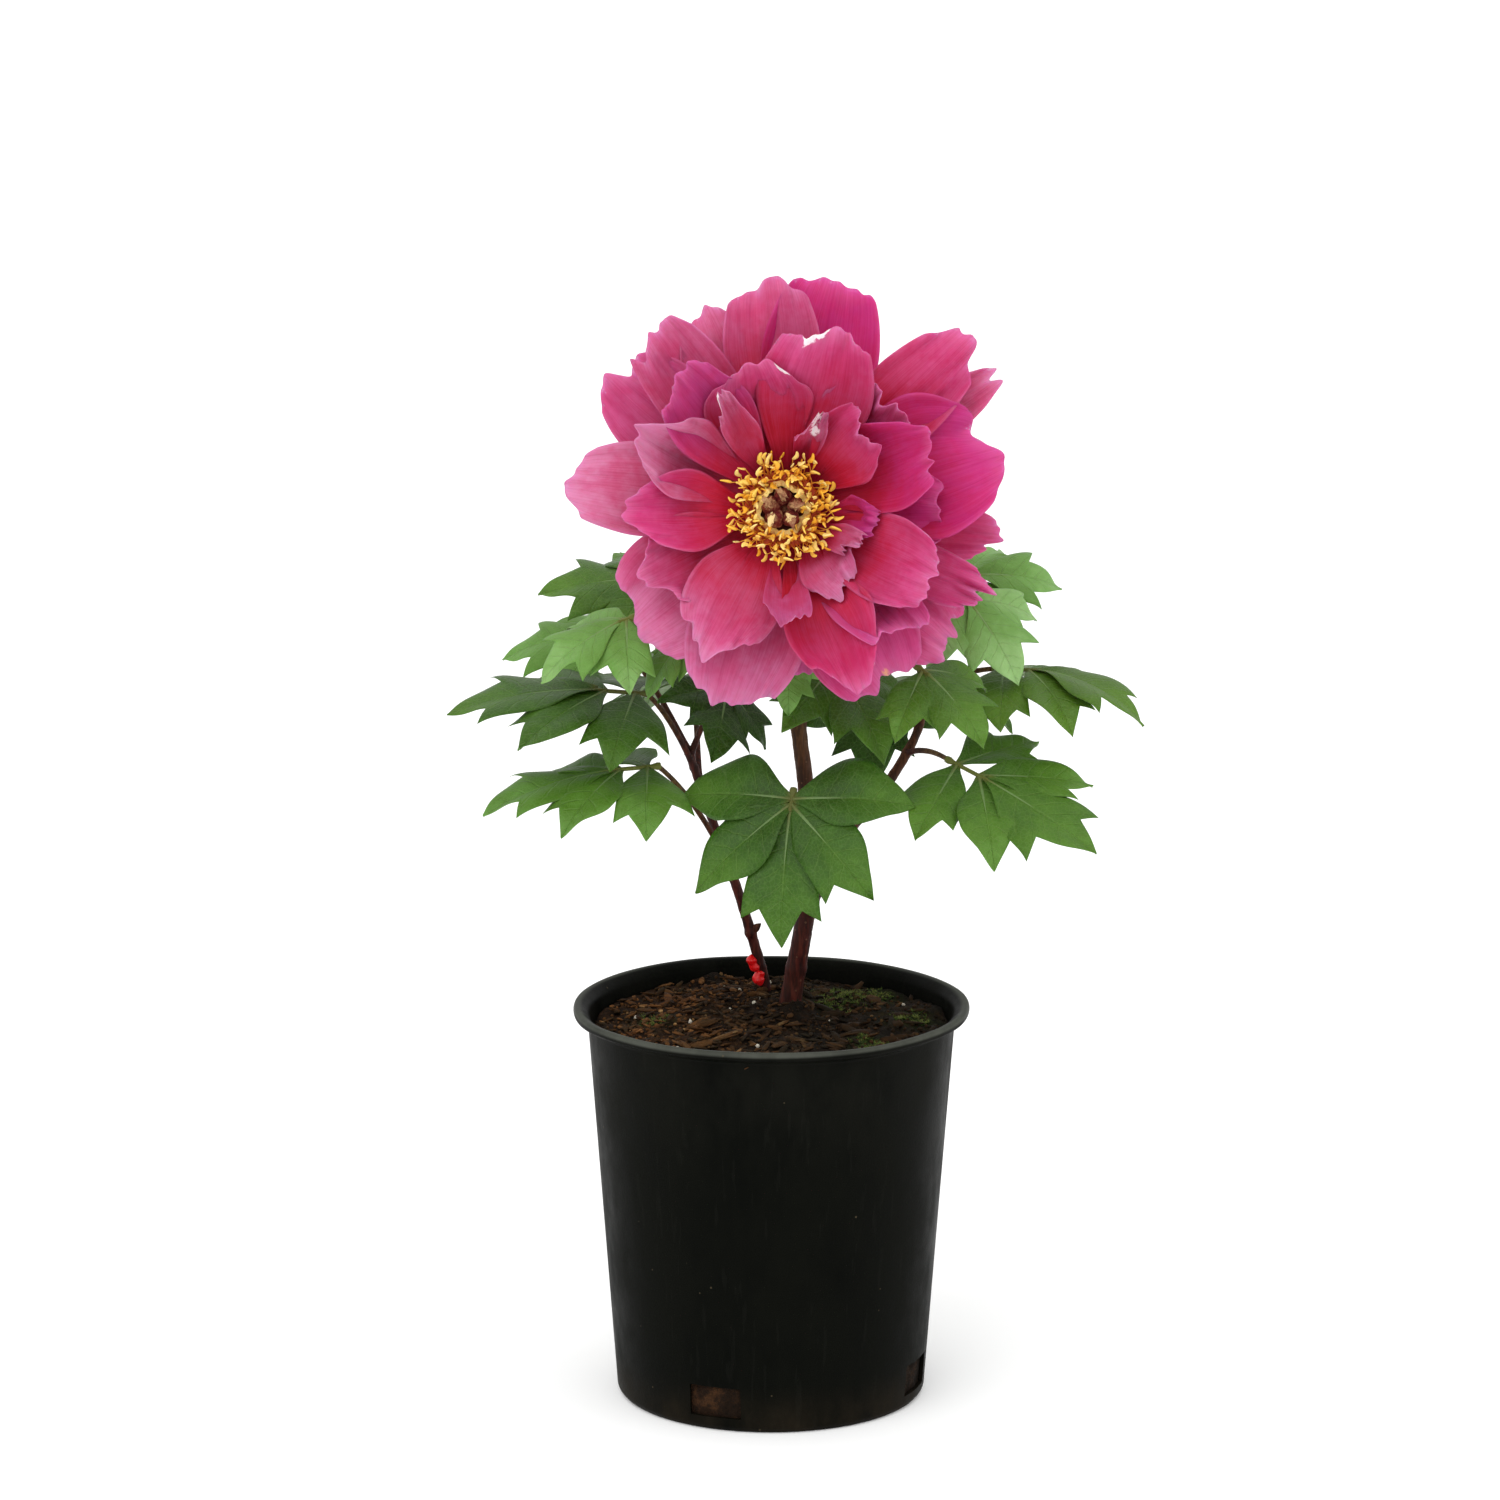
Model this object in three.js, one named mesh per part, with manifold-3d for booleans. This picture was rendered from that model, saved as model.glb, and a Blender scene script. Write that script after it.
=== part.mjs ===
// A potted Itoh peony: a semi-double bloom and compound leaves on two canes, in a black nursery pot.
// Millimetres, +Z up. The origin is the middle of the pot's underside, and the bloom faces -Y.

import * as THREE from "three";
import { mergeVertices } from "three/addons/utils/BufferGeometryUtils.js";
import Module from "manifold-3d";

const wasm = await Module();
wasm.setup();

// Driving dimensions
const POT = {
  height: 225,
  rimRadius: 111,
  lipWidth: 7.5,
  lipHeight: 8,
  shoulderRadius: 103,
  footRadius: 87,
  wall: 2,
  floor: 5,
  sides: 28,
};
const DRAIN = { count: 4, width: 30, height: 18, low: 8, firstAngle: -111 };
const FLOOR_HOLE = { radius: 8, ring: 50, sides: 10 };
const SOIL = { level: 211, mound: 8, crownY: 34, crownSpread: 60, relief: 1.1, rings: 4, sides: 24 };
const CHIPS = { count: 16, margin: 14, long: [9, 22], wide: [4, 8], thick: 3.4, tilt: 0.25, lift: 0.6 };
const SEAT = 0.3; // clearance between two pieces that touch
const BLADE = 0.8; // thickness of a leaf or petal
const FUSE_TOLERANCE = 0.08; // detail smaller than this is dropped where solids are fused
const HUB_RADIUS = 2.4; // knob where a leaf's leaflets meet
const STALK = { rise: 0.14, radii: [1.8, 1.35], sides: 4, steps: 4 };
const RACHIS = { radii: [1.4, 1.2], sides: 4, overrun: 2 };
const LEAFLET = { fold: 0.32, spread: 1.1, wave: 0.1, waveTurns: 9 };
const PETAL = { claw: 0.16, widest: 0.7, narrowing: 0.12, roundness: 0.2, sweep: 0.06 };
const NOTCH = { depth: 0.06, width: 0.16, spread: 0.6 };

// The flower looks along its own axis, towards the viewer and a little up.
const FLOWER = { base: [6, -32, 511], tilt: 14 };
const CALYX = { neck: 4.4, radius: 16, depth: 6.4, sides: 10 };
const SEPALS = { count: 5, root: 12, length: 30, width: 17, height: 3, droop: 3, curl: 1.5 };
const PETAL_DISC = { radius: 23, from: 6.7, to: 15, sides: 16 };
const STAMEN_RING = { inner: 15, outer: 21, from: 15.3, to: 17.8, sides: 16 };
const STAMENS = { count: 44, thread: 0.6, anther: 2, shortest: 17, longest: 24, lean: [2, 50] };
const SHEATH = { radius: 14.6, wall: 1.4, floor: 1.2, height: 9, sides: 16 };
const CARPELS = { count: 5, ring: 5.6, radius: 5.6, height: 18, lean: 8, firstAngle: 18, sides: 5 };

// Each petal: clock position as the viewer sees it, reach from the flower's middle, width.
// Neighbours in a whorl lean apart by turns, so that they lie over each other and don't cross.
const WHORLS = [
  {
    root: 15,
    height: 8.4,
    lean: [80, 93],
    stagger: 4,
    cup: 0.3,
    ruffle: 0.035,
    grid: [4, 4],
    petals: [
      [-82, 118, 54],
      [-55, 119, 54],
      [-37, 123, 46],
      [-20, 120, 50],
      [-2, 126, 52],
      [17, 132, 64],
      [48, 137, 46],
      [58, 139, 32],
      [76, 122, 76],
      [97, 119, 36],
      [114, 120, 30],
      [129, 119, 50],
      [148, 113, 62],
      [174, 90, 50],
      [195, 110, 62],
      [232, 102, 70],
    ],
  },
  {
    root: 17,
    height: 11,
    lean: [74, 49],
    stagger: 6,
    cup: 0.5,
    ruffle: 0.05,
    grid: [3, 3],
    petals: [
      [-92, 74, 40],
      [-63, 90, 40],
      [-38, 86, 42],
      [-13, 85, 52],
      [16, 90, 56],
      [44, 86, 48],
      [68, 88, 44],
      [93, 84, 48],
      [117, 90, 44],
      [137, 99, 40],
      [158, 94, 44],
      [178, 84, 28],
      [209, 78, 48],
      [241, 80, 44],
    ],
  },
  {
    root: 20,
    height: 13.2,
    lean: [66, 30],
    stagger: 5,
    cup: 0.6,
    ruffle: 0.06,
    grid: [2, 3],
    petals: [
      [-28, 60, 32],
      [22, 58, 17],
      [48, 62, 38],
      [98, 52, 22],
      [118, 48, 16],
      [143, 53, 30],
    ],
  },
];

// Canes: points that each one passes through, from in the soil to its tip, with its radius at both ends.
const CANES = [
  {
    name: "cane_main",
    points: [
      [9, 30, 184],
      [11, 27, 217],
      [18, 20, 262],
      [24, 16, 300],
      [19, 13, 350],
      [13, 8, 400],
      [9, 6, 440],
      [7, 3, 478],
      [6, -3, 497],
      [6, -15, 506],
      [6, -32, 511],
    ],
    radii: [6.4, 3.6],
    sides: 8,
    buds: [
      [0.2, 20, 7],
      [0.27, 200, 6],
    ],
  },
  {
    name: "cane_left",
    points: [
      [0, 58, 188],
      [-3, 54, 220],
      [-12, 48, 256],
      [-24, 40, 296],
      [-35, 34, 328],
      [-46, 30, 362],
    ],
    radii: [3.4, 2.2],
    sides: 6,
    buds: [[0.37, -20, 7]],
  },
];

// A branch of the main cane: how far along it starts, then its own points.
const BRANCH = {
  carrier: "cane_main",
  name: "cane_branch",
  from: 0.3,
  points: [
    [42, 12, 320],
    [62, 8, 345],
    [80, 14, 374],
    [88, 22, 400],
  ],
  radii: [4.2, 2],
  sides: 6,
};

// A leaflet's half outline, from its base towards its tip, as shares of its length.
const OUTLINES = {
  plain: [
    [0, 0.025],
    [0.13, 0.04],
    [0.3, 0.15],
    [0.56, 0.21],
    [0.82, 0.1],
  ],
  broad: [
    [0, 0.025],
    [0.13, 0.04],
    [0.3, 0.22],
    [0.56, 0.3],
    [0.82, 0.15],
  ],
  toothed: [
    [0, 0.025],
    [0.13, 0.04],
    [0.3, 0.15],
    [0.52, 0.22],
    [0.8, 0.26],
    [0.73, 0.14],
  ],
  lobed: [
    [0, 0.025],
    [0.13, 0.04],
    [0.36, 0.23],
    [0.7, 0.38],
    [0.62, 0.2],
    [0.82, 0.12],
  ],
};
const RIB_STATION = 0.5;

// Patterns of leaflets: place along the leaf's rachis, turn, pitch, length, and the outlines of both halves.
const PATTERNS = {
  fan: [
    [11, 0, -8, 76, "toothed", "toothed"],
    [8, 46, 1, 72, "plain", "toothed"],
    [8, -46, 1, 72, "plain", "plain"],
    [5, 94, 4, 68, "broad", "plain"],
    [5, -94, 4, 68, "plain", "broad"],
  ],
  spray: [
    [25, 0, -2, 78, "toothed", "lobed"],
    [21, 45, -2, 66, "plain", "toothed"],
    [21, -45, -6, 66, "toothed", "plain"],
    [6, 76, -4, 62, "lobed", "toothed"],
    [6, -76, -4, 60, "toothed", "lobed"],
  ],
  trio: [
    [9, 0, -6, 72, "lobed", "lobed"],
    [5.5, 64, -9, 62, "toothed", "lobed"],
    [5.5, -64, -9, 62, "lobed", "toothed"],
  ],
};

// Leaves: carrier and how far along it, the joint where the leaflets meet, heading seen from above,
// pitch, roll, size, how far its leaflets curl and its pattern.
const LEAVES = [
  ["leaf_front", "cane_main", 0.31, [12, -48, 358], -104, -50, 2, 1.02, 26, "fan"],
  ["leaf_left_low", "cane_left", 0.6, [-63, -8, 363], 194, -2, -10, 1, 27, "spray"],
  ["leaf_left_mid", "cane_left", 0.95, [-69, 2, 402], 185, 5, -12, 1.1, 24, "spray"],
  ["leaf_left_bright", "cane_main", 0.66, [-76, -22, 450], 205, -12, -16, 0.8, 34, "trio"],
  ["leaf_left_top", "cane_main", 0.72, [-60, 40, 459], 178, 4, -26, 0.9, 18, "trio"],
  ["leaf_left_far", "cane_left", 1, [-90, 76, 422], 170, -2, -24, 0.86, 24, "trio"],
  ["leaf_left_under", "cane_main", 0.69, [-44, -20, 441], 211, -34, -8, 0.56, 26, "trio"],
  ["leaf_centre_left", "cane_left", 0.99, [-25, 20, 404], -92, -30, -30, 0.68, 20, "trio"],
  ["leaf_right_low", "cane_branch", 0.72, [98, -24, 370], -34, -18, 20, 1, 12, "spray"],
  ["leaf_right_mid", "cane_branch", 1, [125, 22, 412], -20, 2, 2, 0.92, 44, "spray"],
  ["leaf_right_green", "cane_branch", 0.93, [80, -40, 426], -42, -22, 16, 0.76, 36, "trio"],
  ["leaf_right_pale", "cane_main", 0.67, [106, 14, 456], -50, -30, 20, 0.78, 34, "trio"],
  ["leaf_right_top", "cane_main", 0.73, [106, 52, 458], -2, 10, 34, 0.76, 34, "trio"],
  ["leaf_centre_right", "cane_main", 0.58, [32, -12, 424], -50, -34, 6, 0.86, 20, "trio"],
  ["leaf_under_bloom", "cane_main", 0.76, [10, -40, 436], -96, -72, -2, 0.46, 12, "trio"],
  ["leaf_back_left", "cane_left", 0.9, [-44, 92, 392], 118, -6, 0, 0.95, 34, "trio"],
  ["leaf_back_middle", "cane_main", 0.6, [18, 74, 416], 86, -4, 0, 0.92, 34, "trio"],
  ["leaf_back_right", "cane_branch", 1, [86, 78, 394], 52, -6, 0, 0.95, 34, "trio"],
  ["leaf_inner_right", "cane_branch", 0.84, [58, 54, 400], -92, -58, 0, 0.76, 22, "trio"],
].map(([name, carrier, along, joint, heading, pitch, roll, size, curl, pattern]) => {
  return { name, carrier, along, joint, heading, pitch, roll, size, curl, pattern };
});

// The plastic tie: where it starts and ends along its cane, its wall and the size of its tail.
const TIE = { carrier: "cane_left", from: 0.235, to: 0.3, wall: 1.5, sides: 8, tail: [2.2, 5, 12] };

const COLOURS = {
  pot: 0x1a1c1b,
  soil: 0x4a3220,
  cane: 0x4a2420,
  leaf: 0x3f6b2c,
  petal: 0xc2347a,
  stamen: 0xe8a92c,
  sheath: 0xe6cf7c,
  carpel: 0x6a3a3a,
  calyx: 0x6f9a4e,
  tie: 0xe0202a,
};

const DEGREE = Math.PI / 180;
const TURN = 2 * Math.PI;
const GOLDEN_ANGLE = 137.508 * DEGREE;
const { lerp } = THREE.MathUtils;
const vec = (x, y, z) => new THREE.Vector3(x, y, z);

// Repeatable random numbers from 0 to 1.
function randomFrom(seed) {
  let state = seed;
  return () => {
    state = (Math.imul(state, 1664525) + 1013904223) >>> 0;
    return state / 4294967296;
  };
}

// A closed solid from points and triangles.
function solidOf(points, faces) {
  return new wasm.Manifold(
    new wasm.Mesh({
      numProp: 3,
      vertProperties: new Float32Array(points.flatMap((p) => [p.x, p.y, p.z])),
      triVerts: new Uint32Array(faces.flat()),
    }),
  );
}

// A closed solid from a three.js geometry, its shared vertices merged.
function solidOfGeometry(geometry) {
  const bare = new THREE.BufferGeometry().setAttribute("position", geometry.getAttribute("position"));
  bare.setIndex(geometry.index);
  const merged = mergeVertices(bare, 1e-3);
  const at = merged.attributes.position;
  const points = Array.from({ length: at.count }, (_, i) => new THREE.Vector3().fromBufferAttribute(at, i));
  const faces = [];
  for (let i = 0; i < merged.index.count; i += 3) {
    const face = [0, 1, 2].map((k) => merged.index.getX(i + k));
    if (new Set(face).size === 3) faces.push(face);
  }
  return solidOf(points, faces);
}

// Joins solids into one, drops slivers of triangles and fills any hollow sealed inside.
function join(solids) {
  const bodies = solids
    .reduce((all, one) => all.add(one))
    .simplify(FUSE_TOLERANCE)
    .decompose()
    .filter((body) => body.volume() > 0);
  return bodies.reduce((all, one) => all.add(one));
}

// A named mesh of one solid.
function meshOf(name, solid, colour, roughness) {
  const { vertProperties, triVerts } = solid.getMesh();
  const geometry = new THREE.BufferGeometry();
  geometry.setAttribute("position", new THREE.BufferAttribute(new Float32Array(vertProperties), 3));
  geometry.setIndex(new THREE.BufferAttribute(new Uint32Array(triVerts), 1));
  geometry.computeVertexNormals();
  const material = new THREE.MeshStandardMaterial({ color: colour, roughness, metalness: 0 });
  const mesh = new THREE.Mesh(geometry, material);
  mesh.name = name;
  return mesh;
}

// A solid of revolution about Z, from [radius, height] pairs that start and end on the axis.
function turned(profile, sides) {
  const points = profile.map(([r, z]) => new THREE.Vector2(r, z));
  return solidOfGeometry(new THREE.LatheGeometry(points, sides).rotateX(Math.PI / 2));
}

// A thin solid: a flat triangulation laid on a surface, once on each face, and closed round its edge.
// surfaceAt(x, y, h) gives the point at height h above the surface.
function thinSolid(flat, triangles, surfaceAt) {
  const points = [BLADE / 2, -BLADE / 2].flatMap((h) => flat.map(([x, y]) => surfaceAt(x, y, h)));
  const below = flat.length;
  const faces = triangles.flatMap(([a, b, c]) => [
    [a, b, c],
    [a + below, c + below, b + below],
  ]);
  const edges = new Set(triangles.flatMap(([a, b, c]) => [`${a},${b}`, `${b},${c}`, `${c},${a}`]));
  for (const edge of edges) {
    const [a, b] = edge.split(",").map(Number);
    if (!edges.has(`${b},${a}`)) faces.push([b, a, a + below], [b, a + below, b + below]);
  }
  return solidOf(points, faces);
}

// A closed round limb along a curve, tapering from the first radius to the second.
function limb(curve, steps, sides, radii) {
  const frames = curve.computeFrenetFrames(steps, false);
  const points = [];
  const faces = [];
  for (let i = 0; i <= steps; i++) {
    const middle = curve.getPointAt(i / steps);
    const radius = lerp(...radii, i / steps);
    for (let k = 0; k < sides; k++) {
      const turn = (TURN * k) / sides;
      const point = middle.clone().addScaledVector(frames.normals[i], radius * Math.cos(turn));
      points.push(point.addScaledVector(frames.binormals[i], radius * Math.sin(turn)));
      const [a, b] = [i * sides + k, i * sides + ((k + 1) % sides)];
      if (i < steps) faces.push([a, b, b + sides], [a, b + sides, a + sides]);
      if (i === 0 && k > 1) faces.push([0, k, k - 1]);
      if (i === steps && k > 1) faces.push([a - k, a - 1, a]);
    }
  }
  return solidOf(points, faces);
}

const smoothCurve = (points) => new THREE.CatmullRomCurve3(points, false, "catmullrom", 0.5);

// The pot: a tapering wall with a rolled lip, a raised floor on a foot ring, and drain holes in both.
function makePot() {
  const { height, rimRadius, lipWidth, lipHeight, shoulderRadius, footRadius, wall, floor } = POT;
  const rimInner = rimRadius - lipWidth;
  const outside = [
    [0, 0],
    [14, 0],
    [16, 3],
    [footRadius - 13, 3],
    [footRadius - 11, 0],
    [footRadius - 2.5, 0],
    [footRadius, 3],
    [shoulderRadius, height - lipHeight],
    [rimRadius - 1.5, height - lipHeight],
    [rimRadius, height - lipHeight + 2],
    [rimRadius, height - 2.5],
    [rimRadius - 2.5, height],
    [rimInner - 1, height],
    [rimInner - 2.4, height - 2],
  ];
  const inside = [
    [innerRadius(height - lipHeight - 4), height - lipHeight - 4],
    [innerRadius(floor), floor],
    [0, floor],
  ];
  let pot = turned([...outside, ...inside], POT.sides);
  for (let i = 0; i < DRAIN.count; i++) {
    const angle = DRAIN.firstAngle * DEGREE + (TURN * i) / DRAIN.count;
    const slot = new THREE.BoxGeometry(24, DRAIN.width, DRAIN.height)
      .translate(footRadius, 0, DRAIN.low + DRAIN.height / 2)
      .rotateZ(angle);
    const hole = new THREE.CylinderGeometry(FLOOR_HOLE.radius, FLOOR_HOLE.radius, 4 * floor, FLOOR_HOLE.sides)
      .rotateX(Math.PI / 2)
      .translate(FLOOR_HOLE.ring, 0, 0)
      .rotateZ(angle + Math.PI / DRAIN.count);
    pot = pot.subtract(solidOfGeometry(slot)).subtract(solidOfGeometry(hole));
  }
  return pot;
}

// The pot wall's inner radius at a height.
function innerRadius(z) {
  const share = (z - 3) / (POT.height - POT.lipHeight - 3);
  return lerp(POT.footRadius, POT.shoulderRadius, share) - POT.wall;
}

// Height of the soil's surface: a low mound round the crown, with shallow hollows.
function soilHeight(x, y) {
  const away = Math.hypot(x, y - SOIL.crownY) / SOIL.crownSpread;
  const hollows = Math.sin(x / 11 + 1) * Math.cos(y / 13) + 0.6 * Math.sin(x / 5.3 - y / 6.1);
  return SOIL.level + SOIL.mound * Math.exp(-away * away) + SOIL.relief * hollows;
}

// A bark chip, lying at a slight tilt on the soil.
function chipSolid(edge, random) {
  const reach = (edge - CHIPS.margin) * Math.sqrt(random());
  const angle = TURN * random();
  const [x, y] = [reach * Math.cos(angle), reach * Math.sin(angle)];
  const tilt = () => CHIPS.tilt * (2 * random() - 1);
  const [long, wide] = [lerp(...CHIPS.long, random()), lerp(...CHIPS.wide, random())];
  const chip = new THREE.BoxGeometry(long, wide, CHIPS.thick)
    .rotateX(tilt())
    .rotateY(tilt())
    .rotateZ(TURN * random())
    .translate(x, y, soilHeight(x, y) + CHIPS.lift);
  return solidOfGeometry(chip);
}

// The soil: fills the pot to just under its lip, with chips fused to its top and a plain hole for each cane.
function makeSoil() {
  const inset = SEAT + 1;
  const edge = innerRadius(SOIL.level) - inset;
  const profile = [
    [0, POT.floor + SEAT],
    [innerRadius(POT.floor) - inset, POT.floor + SEAT],
    [edge, SOIL.level],
  ];
  for (let i = SOIL.rings - 1; i >= 0; i--) profile.push([(edge * i) / SOIL.rings, SOIL.level]);
  const points = profile.map(([r, z]) => new THREE.Vector2(r, z));
  const ground = new THREE.LatheGeometry(points, SOIL.sides).rotateX(Math.PI / 2);
  const at = ground.attributes.position;
  for (let i = 0; i < at.count; i++) {
    if (at.getZ(i) > SOIL.level - 1) at.setZ(i, soilHeight(at.getX(i), at.getY(i)));
  }
  const random = randomFrom(11);
  const chips = Array.from({ length: CHIPS.count }, () => chipSolid(edge, random));
  const filled = join([solidOfGeometry(ground), ...chips]);
  return CANES.reduce((soil, cane) => soil.subtract(caneLimb(cane, SEAT)), filled);
}

const caneCurve = (cane) => smoothCurve(cane.points.map((p) => vec(...p)));

// The cane itself, without its branch, buds and leaf stalks, grown outwards by a clearance.
function caneLimb(cane, clearance) {
  const radii = cane.radii.map((r) => r + clearance);
  return limb(caneCurve(cane), cane.points.length + 3, cane.sides, radii);
}

// The branch's curve, which starts inside the main cane.
function makeBranchCurve() {
  const mainCane = CANES.find((cane) => cane.name === BRANCH.carrier);
  const fork = caneCurve(mainCane).getPointAt(BRANCH.from);
  return smoothCurve([fork, ...BRANCH.points.map((p) => vec(...p))]);
}

// The curves that carry leaves, by name.
const CARRIERS = Object.fromEntries(CANES.map((cane) => [cane.name, caneCurve(cane)]));
CARRIERS[BRANCH.name] = makeBranchCurve();

// A leaf stalk: leaves its carrier rising, and ends a seat's width short of the leaf's knob.
function stalkLimb(leaf) {
  const root = CARRIERS[leaf.carrier].getPointAt(leaf.along);
  const end = vec(...leaf.joint);
  const middle = root.clone().lerp(end, 0.5);
  middle.z += STALK.rise * root.distanceTo(end);
  const approach = end.clone().sub(middle).normalize();
  end.addScaledVector(approach, -(HUB_RADIUS + SEAT));
  const curve = new THREE.QuadraticBezierCurve3(root, middle, end);
  return limb(curve, STALK.steps, STALK.sides, STALK.radii);
}

// A dormant bud: a short cone that stands out of its cane, upwards and to one side.
function budSolid(curve, radius, [along, heading, length]) {
  const out = vec(Math.cos(heading * DEGREE), Math.sin(heading * DEGREE), 0.9).normalize();
  const root = curve.getPointAt(along).addScaledVector(out, 0.4 * radius);
  return limb(new THREE.LineCurve3(root, root.clone().addScaledVector(out, length)), 1, 5, [2.4, 0.7]);
}

// A cane with its buds, its branch and the stalks of its leaves.
function makeCane(cane) {
  const buds = cane.buds.map((bud) => budSolid(CARRIERS[cane.name], cane.radii[0], bud));
  const limbs = [caneLimb(cane, 0), ...buds];
  const carriers = [cane.name];
  if (cane.name === BRANCH.carrier) {
    carriers.push(BRANCH.name);
    limbs.push(limb(CARRIERS[BRANCH.name], 6, BRANCH.sides, BRANCH.radii));
  }
  const stalks = LEAVES.filter((leaf) => carriers.includes(leaf.carrier)).map(stalkLimb);
  return join([...limbs, ...stalks]);
}

// The tie: a plastic band round the cane's foot, with a short tail.
function makeTie() {
  const cane = CANES.find((one) => one.name === TIE.carrier);
  const curve = CARRIERS[cane.name];
  const [low, high] = [curve.getPointAt(TIE.from), curve.getPointAt(TIE.to)];
  const reach = cane.radii[0] + TIE.wall;
  const band = limb(new THREE.LineCurve3(low, high), 1, TIE.sides, [reach, reach]);
  const tail = new THREE.BoxGeometry(...TIE.tail).translate(low.x - reach, low.y - 1, low.z + 1);
  return join([band, solidOfGeometry(tail)]).subtract(caneLimb(cane, SEAT));
}

// Flat triangulation of a leaflet, split along its rib, as shares of its length.
function leafletFlat(leftOutline, rightOutline) {
  const flat = [];
  const faces = [];
  const indexOf = ([x, y]) => {
    const found = flat.findIndex((p) => p[0] === x && p[1] === y);
    return found < 0 ? flat.push([x, y]) - 1 : found;
  };
  for (const [outline, side] of [
    [leftOutline, 1],
    [rightOutline, -1],
  ]) {
    const edge = OUTLINES[outline].map(([x, y]) => [x, side * y]);
    const ring = [...edge, [1, 0], [RIB_STATION, 0], [0, 0]];
    if (side > 0) ring.reverse();
    const found = THREE.ShapeUtils.triangulateShape(
      ring.map(([x, y]) => new THREE.Vector2(x, y)),
      [],
    );
    for (const face of found) faces.push(face.map((i) => indexOf(ring[i])));
  }
  return [flat, faces];
}

// One leaflet in its leaf's frame: arched along its rib, with its sides raised from it and lightly waved.
function leafletSolid(leaflet, leaf, phase) {
  const [base, turn, pitch, span, leftOutline, rightOutline] = leaflet;
  const length = span * leaf.size;
  const curl = (leaf.curl * DEGREE) / length;
  const place = new THREE.Matrix4()
    .makeTranslation(base * leaf.size, 0, 0)
    .multiply(new THREE.Matrix4().makeRotationZ(turn * DEGREE))
    .multiply(new THREE.Matrix4().makeRotationY(-pitch * DEGREE));
  const surfaceAt = (x, y, h) => {
    const wave = LEAFLET.wave * Math.abs(y) * Math.sin(LEAFLET.waveTurns * x + phase);
    const rise = length * (LEAFLET.fold * Math.abs(y) - LEAFLET.spread * y * y + wave) + h;
    const angle = curl * x * length;
    const ahead = Math.sin(angle) / curl + rise * Math.sin(angle);
    const up = (Math.cos(angle) - 1) / curl + rise * Math.cos(angle);
    return vec(ahead, y * length, up).applyMatrix4(place);
  };
  return thinSolid(...leafletFlat(leftOutline, rightOutline), surfaceAt);
}

// A compound leaf: a knob on its stalk, a short rachis, and the leaflets that spring from it.
function makeLeaf(leaf, order) {
  const leaflets = PATTERNS[leaf.pattern];
  const rachisEnd = vec(leaflets[0][0] * leaf.size + RACHIS.overrun, 0, 0);
  const rachis = limb(new THREE.LineCurve3(vec(0, 0, 0), rachisEnd), 1, RACHIS.sides, RACHIS.radii);
  const knob = solidOfGeometry(new THREE.IcosahedronGeometry(HUB_RADIUS, 0));
  const random = randomFrom(101 + order);
  const blades = leaflets.map((leaflet) => leafletSolid(leaflet, leaf, TURN * random()));
  const turned = new THREE.Euler(leaf.roll * DEGREE, -leaf.pitch * DEGREE, leaf.heading * DEGREE, "ZYX");
  const placed = new THREE.Matrix4().makeRotationFromEuler(turned).setPosition(...leaf.joint);
  return join([...blades, rachis, knob]).transform(placed.toArray());
}

// Places a solid made in the flower's frame: its own Z is the flower's axis, X the viewer's right, Y up.
function onFlower(solid) {
  const placed = new THREE.Matrix4()
    .makeRotationX((90 - FLOWER.tilt) * DEGREE)
    .setPosition(...FLOWER.base);
  return solid.transform(placed.toArray());
}

// Half-width of a petal along its length, as a share of its greatest.
function petalShape(v) {
  const widening = Math.sin((Math.PI / 2) * Math.min(1, v / PETAL.widest));
  const beyond = Math.max(0, (v - PETAL.widest) / (1 - PETAL.widest));
  return PETAL.claw + (1 - PETAL.claw) * widening - PETAL.narrowing * beyond * beyond;
}

// Where a petal ends, across its width, as a share of its length: rounded, with a notch.
function petalEnd(u, notch) {
  const dip = Math.exp(-(((u - notch) / NOTCH.width) ** 2));
  return 1 - PETAL.roundness * Math.abs(u) ** 2.6 - NOTCH.depth * dip;
}

// A grid of points from 0 to 1 along and -1 to 1 across, with its triangles.
function petalFlat([columns, rows]) {
  const flat = [];
  const faces = [];
  for (let i = 0; i <= rows; i++) {
    for (let j = 0; j <= columns; j++) {
      flat.push([i / rows, (2 * j) / columns - 1]);
      const a = i * (columns + 1) + j;
      const b = a + columns + 1;
      if (i < rows && j < columns) faces.push([a, b, b + 1], [a, b + 1, a + 1]);
    }
  }
  return [flat, faces];
}

// Turns a point on the petal that stands at a clock position into the flower's frame.
function atClock(clock, outward, across, forward) {
  const turn = (90 - clock) * DEGREE;
  return vec(
    outward * Math.cos(turn) - across * Math.sin(turn),
    outward * Math.sin(turn) + across * Math.cos(turn),
    forward,
  );
}

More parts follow.
